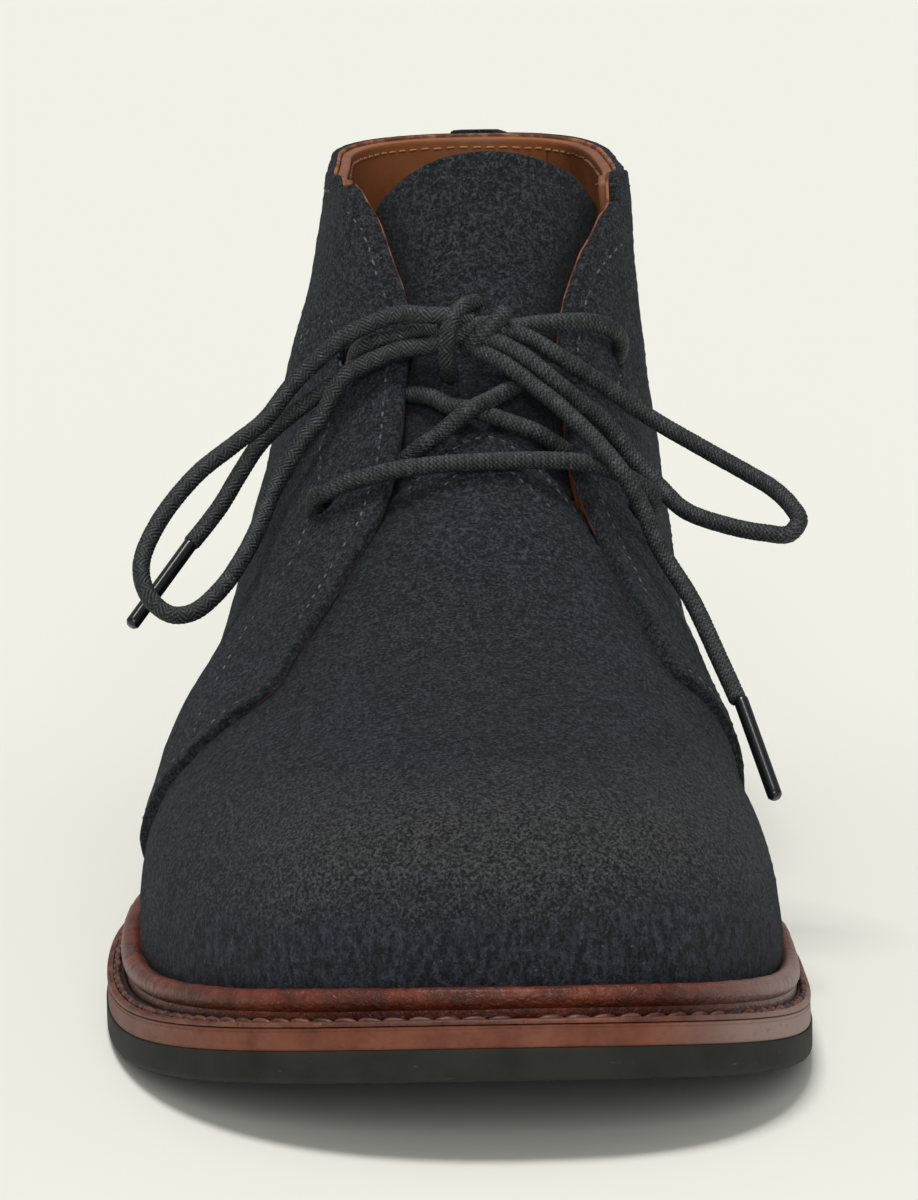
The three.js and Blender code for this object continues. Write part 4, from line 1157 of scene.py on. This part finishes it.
# the bead's section in degrees up from its outer side, and where its raw upper edge starts
BEAD_ARC, RAW_EDGE_FROM = np.linspace(-62, 172, 27), 128
CHANNEL_ROWS = ((0.36, 0.42), (0.44, 0.25), (0.6, 0.15), (0.8, 0.15), (0.98, 0.3), (1.12, 0.8))


def welt():
    count = 1500
    outer = even_loop(grown_loop(lambda at, side: sole_margin(at, side) - WELT_INSET), count)
    inner_line = grown_loop(0.1, BEAD_HEIGHT)
    lap = grown_loop(-WELT_LAP)

    def nearest(line):
        """The nearest place on an inner line for each place on the outer one."""
        away = ((outer[:, None] - line[None, ::2]) ** 2).sum(-1)
        values = line[::2][away.argmin(1)]
        return smooth_loop(values, 12)
    inner, deep = nearest(inner_line), nearest(lap)
    width = np.linalg.norm(outer - inner, axis=1)
    foot_run = width - np.minimum(BEAD_WIDTH, width * 0.65)
    run = np.cumsum(np.linalg.norm(np.diff(outer, axis=0, append=outer[:1]), axis=1))
    rng = np.random.default_rng(8)
    drift = smooth_loop(rng.normal(0, 1, count), 60)
    drift /= np.abs(drift).max()
    small = smooth_loop(rng.normal(0, 1, count), 5)
    small /= np.abs(small).max()
    x = outer[:, 0]
    at = outer[:, 1]
    gimp_zone = smooth((np.abs(x - RIDGE_X) - 34) / 10)
    gimp = -0.26 * gimp_zone * smooth(np.cos(run * 2 * math.pi / 2.1) * 1.6)

    def ring(across, z):
        """A line at a distance in from the welt's edge, and a height over the feather line."""
        t = np.clip(across / width, None, 1.6)[:, None]
        xy = mix(outer, inner, t)
        return np.column_stack([xy, feather_z(xy[:, 1]) + z])

    flat_rows = [ring(0.6, -0.3), ring(0.12, -0.26), ring(0, -0.05),
                 ring(0, LIP_THICK - 0.3 + 0.05 * small),
                 ring(0.12, LIP_THICK - 0.07 + 0.08 * small)]
    for t in (0.05, 0.1, 0.17, 0.24, 0.30):
        flat_rows.append(ring(foot_run * t + 0.25, LIP_THICK + 0.35 * t
                              + gimp * math.sin(min(t / 0.14, 1) * 1.57) + 0.05 * small))
    # the channel rows take the channel material, whose dark colour is painted shade
    dark_from = len(flat_rows)
    for t, z in CHANNEL_ROWS:
        flat_rows.append(ring(foot_run * t + 0.15, z + 0.06 * small))
    flat_rows.append(ring(foot_run * 1.12 + 0.15, -0.2))
    rings = np.array(flat_rows)
    points, faces = loft(np.concatenate([rings, rings[:1]]), caps=False)
    marks = np.repeat(np.arange(len(rings)) >= dark_from - 1, count)
    add_piece("welt_flat", points, faces, [WELT, CHANNEL_SHADE], "welt_leather", face_material=marks)

    radius_x = (width - foot_run) / 2 + 0.12
    centre = foot_run + radius_x + 0.05
    radius_z = 1.85 + 0.10 * drift + 0.04 * small
    centre_z = 3.6
    wrinkle = 0.07 * smooth_loop(rng.normal(0, 1, count), 2)
    bead_rows = []
    for degrees in BEAD_ARC:
        a = math.radians(degrees)
        face = max(math.sin(a + 0.5), 0)
        bead_rows.append(ring(centre - (radius_x + wrinkle * face) * math.cos(a),
                              centre_z + (radius_z + wrinkle * face) * math.sin(a)))
    bead_rows.append(np.column_stack([deep, feather_z(deep[:, 1]) + BEAD_HEIGHT * 0.5]))
    bead_rows.append(np.column_stack([deep, feather_z(deep[:, 1]) + 0.1]))
    bead_rows.append(ring(foot_run * 1.12 + 0.15, 0.1))
    rings = np.array(bead_rows)
    points, faces = loft(np.concatenate([rings, rings[:1]]), caps=False)
    top_row = int(np.searchsorted(BEAD_ARC, RAW_EDGE_FROM))
    row_of = np.arange(len(rings))
    marks = np.repeat((row_of >= top_row) & (row_of < top_row + 3), count)
    add_piece("welt_bead", points, faces, [BEAD, WELT_RAW], "welt_leather", ("welt",), marks)

    channel = ring(foot_run * 0.66 + 0.1, 0.52)
    normal = np.tile([0.0, 0.0, 1.0], (count, 1))
    rows = np.column_stack([channel, normal, np.ones(count), np.zeros(count)])
    rows = np.concatenate([rows, rows[:1]])
    stitches("welt_stitches", [rows], DARK_THREAD, "welt_leather", pitch=3.9, length=4.0, radius=0.55,
             sink=0.0, wobble=0.05, tilt=0.10, seed=12)


welt()


def insole():
    count = 400
    loop = even_loop(grown_loop(-WALL - FIT_GAP - 0.4), count)
    rings = []
    for inset, z in ((0.6, 0.15), (0, 0.4), (0, 2.5), (0.3, 2.9), (0.9, 3.0)):
        arm = loop - loop.mean(0)
        size = np.linalg.norm(arm, axis=1, keepdims=True)
        xy = loop - arm / size * inset
        rings.append(np.column_stack([xy, feather_z(xy[:, 1]) + z]))
    rings = np.array(rings)
    points, faces = loft(rings, caps=False)
    for row, up in ((0, False), (len(rings) - 1, True)):
        for k in range(1, count // 2):
            a, b = row * count + k, row * count + k + 1
            c, d = row * count + (count - k - 1) % count, row * count + count - k
            quad = [a, b, c, d] if k < count // 2 - 1 else [a, b, d]
            faces.append(quad if up else quad[::-1])
        tip = [row * count, row * count + 1, row * count + count - 1]
        faces.append(tip if up else tip[::-1])
    add_piece("insole_sock", points, faces, [LINING], "lining", ("insole",))


insole()


# ---------------------------------------------------------------- the stage
# a soft light from above and a softer one from the front: strength, width and turn in degrees
SUNS = (("top", 1.83, 20, (3, -5, 0)), ("front", 1.1, 34, (66, 0, 2)))
SKY_STRENGTH, FLOOR_COLOUR, FLOOR_SIZE = 0.30, (0.863, 0.863, 0.791, 1.0), 9.0


def make_stage():
    s = Shader("pale_floor")
    floor_material = s.done(Base_Color=FLOOR_COLOUR, Roughness=1.0, Specular_IOR_Level=0.0)
    mesh = bpy.data.meshes.new("floor")
    size = FLOOR_SIZE
    mesh.from_pydata([(-size, -size, 0), (size, -size, 0), (size, size, 0), (-size, size, 0)], [],
                     [(0, 1, 2, 3)])
    mesh.materials.append(floor_material)
    floor = bpy.data.objects.new("floor", mesh)
    bpy.context.scene.collection.objects.link(floor)

    world = bpy.data.worlds.new("studio")
    world.use_nodes = True
    world.node_tree.nodes["Background"].inputs[0].default_value = (1.0, 1.0, 1.0, 1.0)
    world.node_tree.nodes["Background"].inputs[1].default_value = SKY_STRENGTH
    bpy.context.scene.world = world

    for name, strength, angle, turn in SUNS:
        data = bpy.data.lights.new(name, "SUN")
        data.energy = strength
        data.angle = math.radians(angle)
        sun = bpy.data.objects.new(name, data)
        sun.rotation_euler = [math.radians(v) for v in turn]
        bpy.context.scene.collection.objects.link(sun)


make_stage()
bpy.context.scene.view_settings.view_transform = "Standard"
bpy.context.scene.view_settings.look = "None"
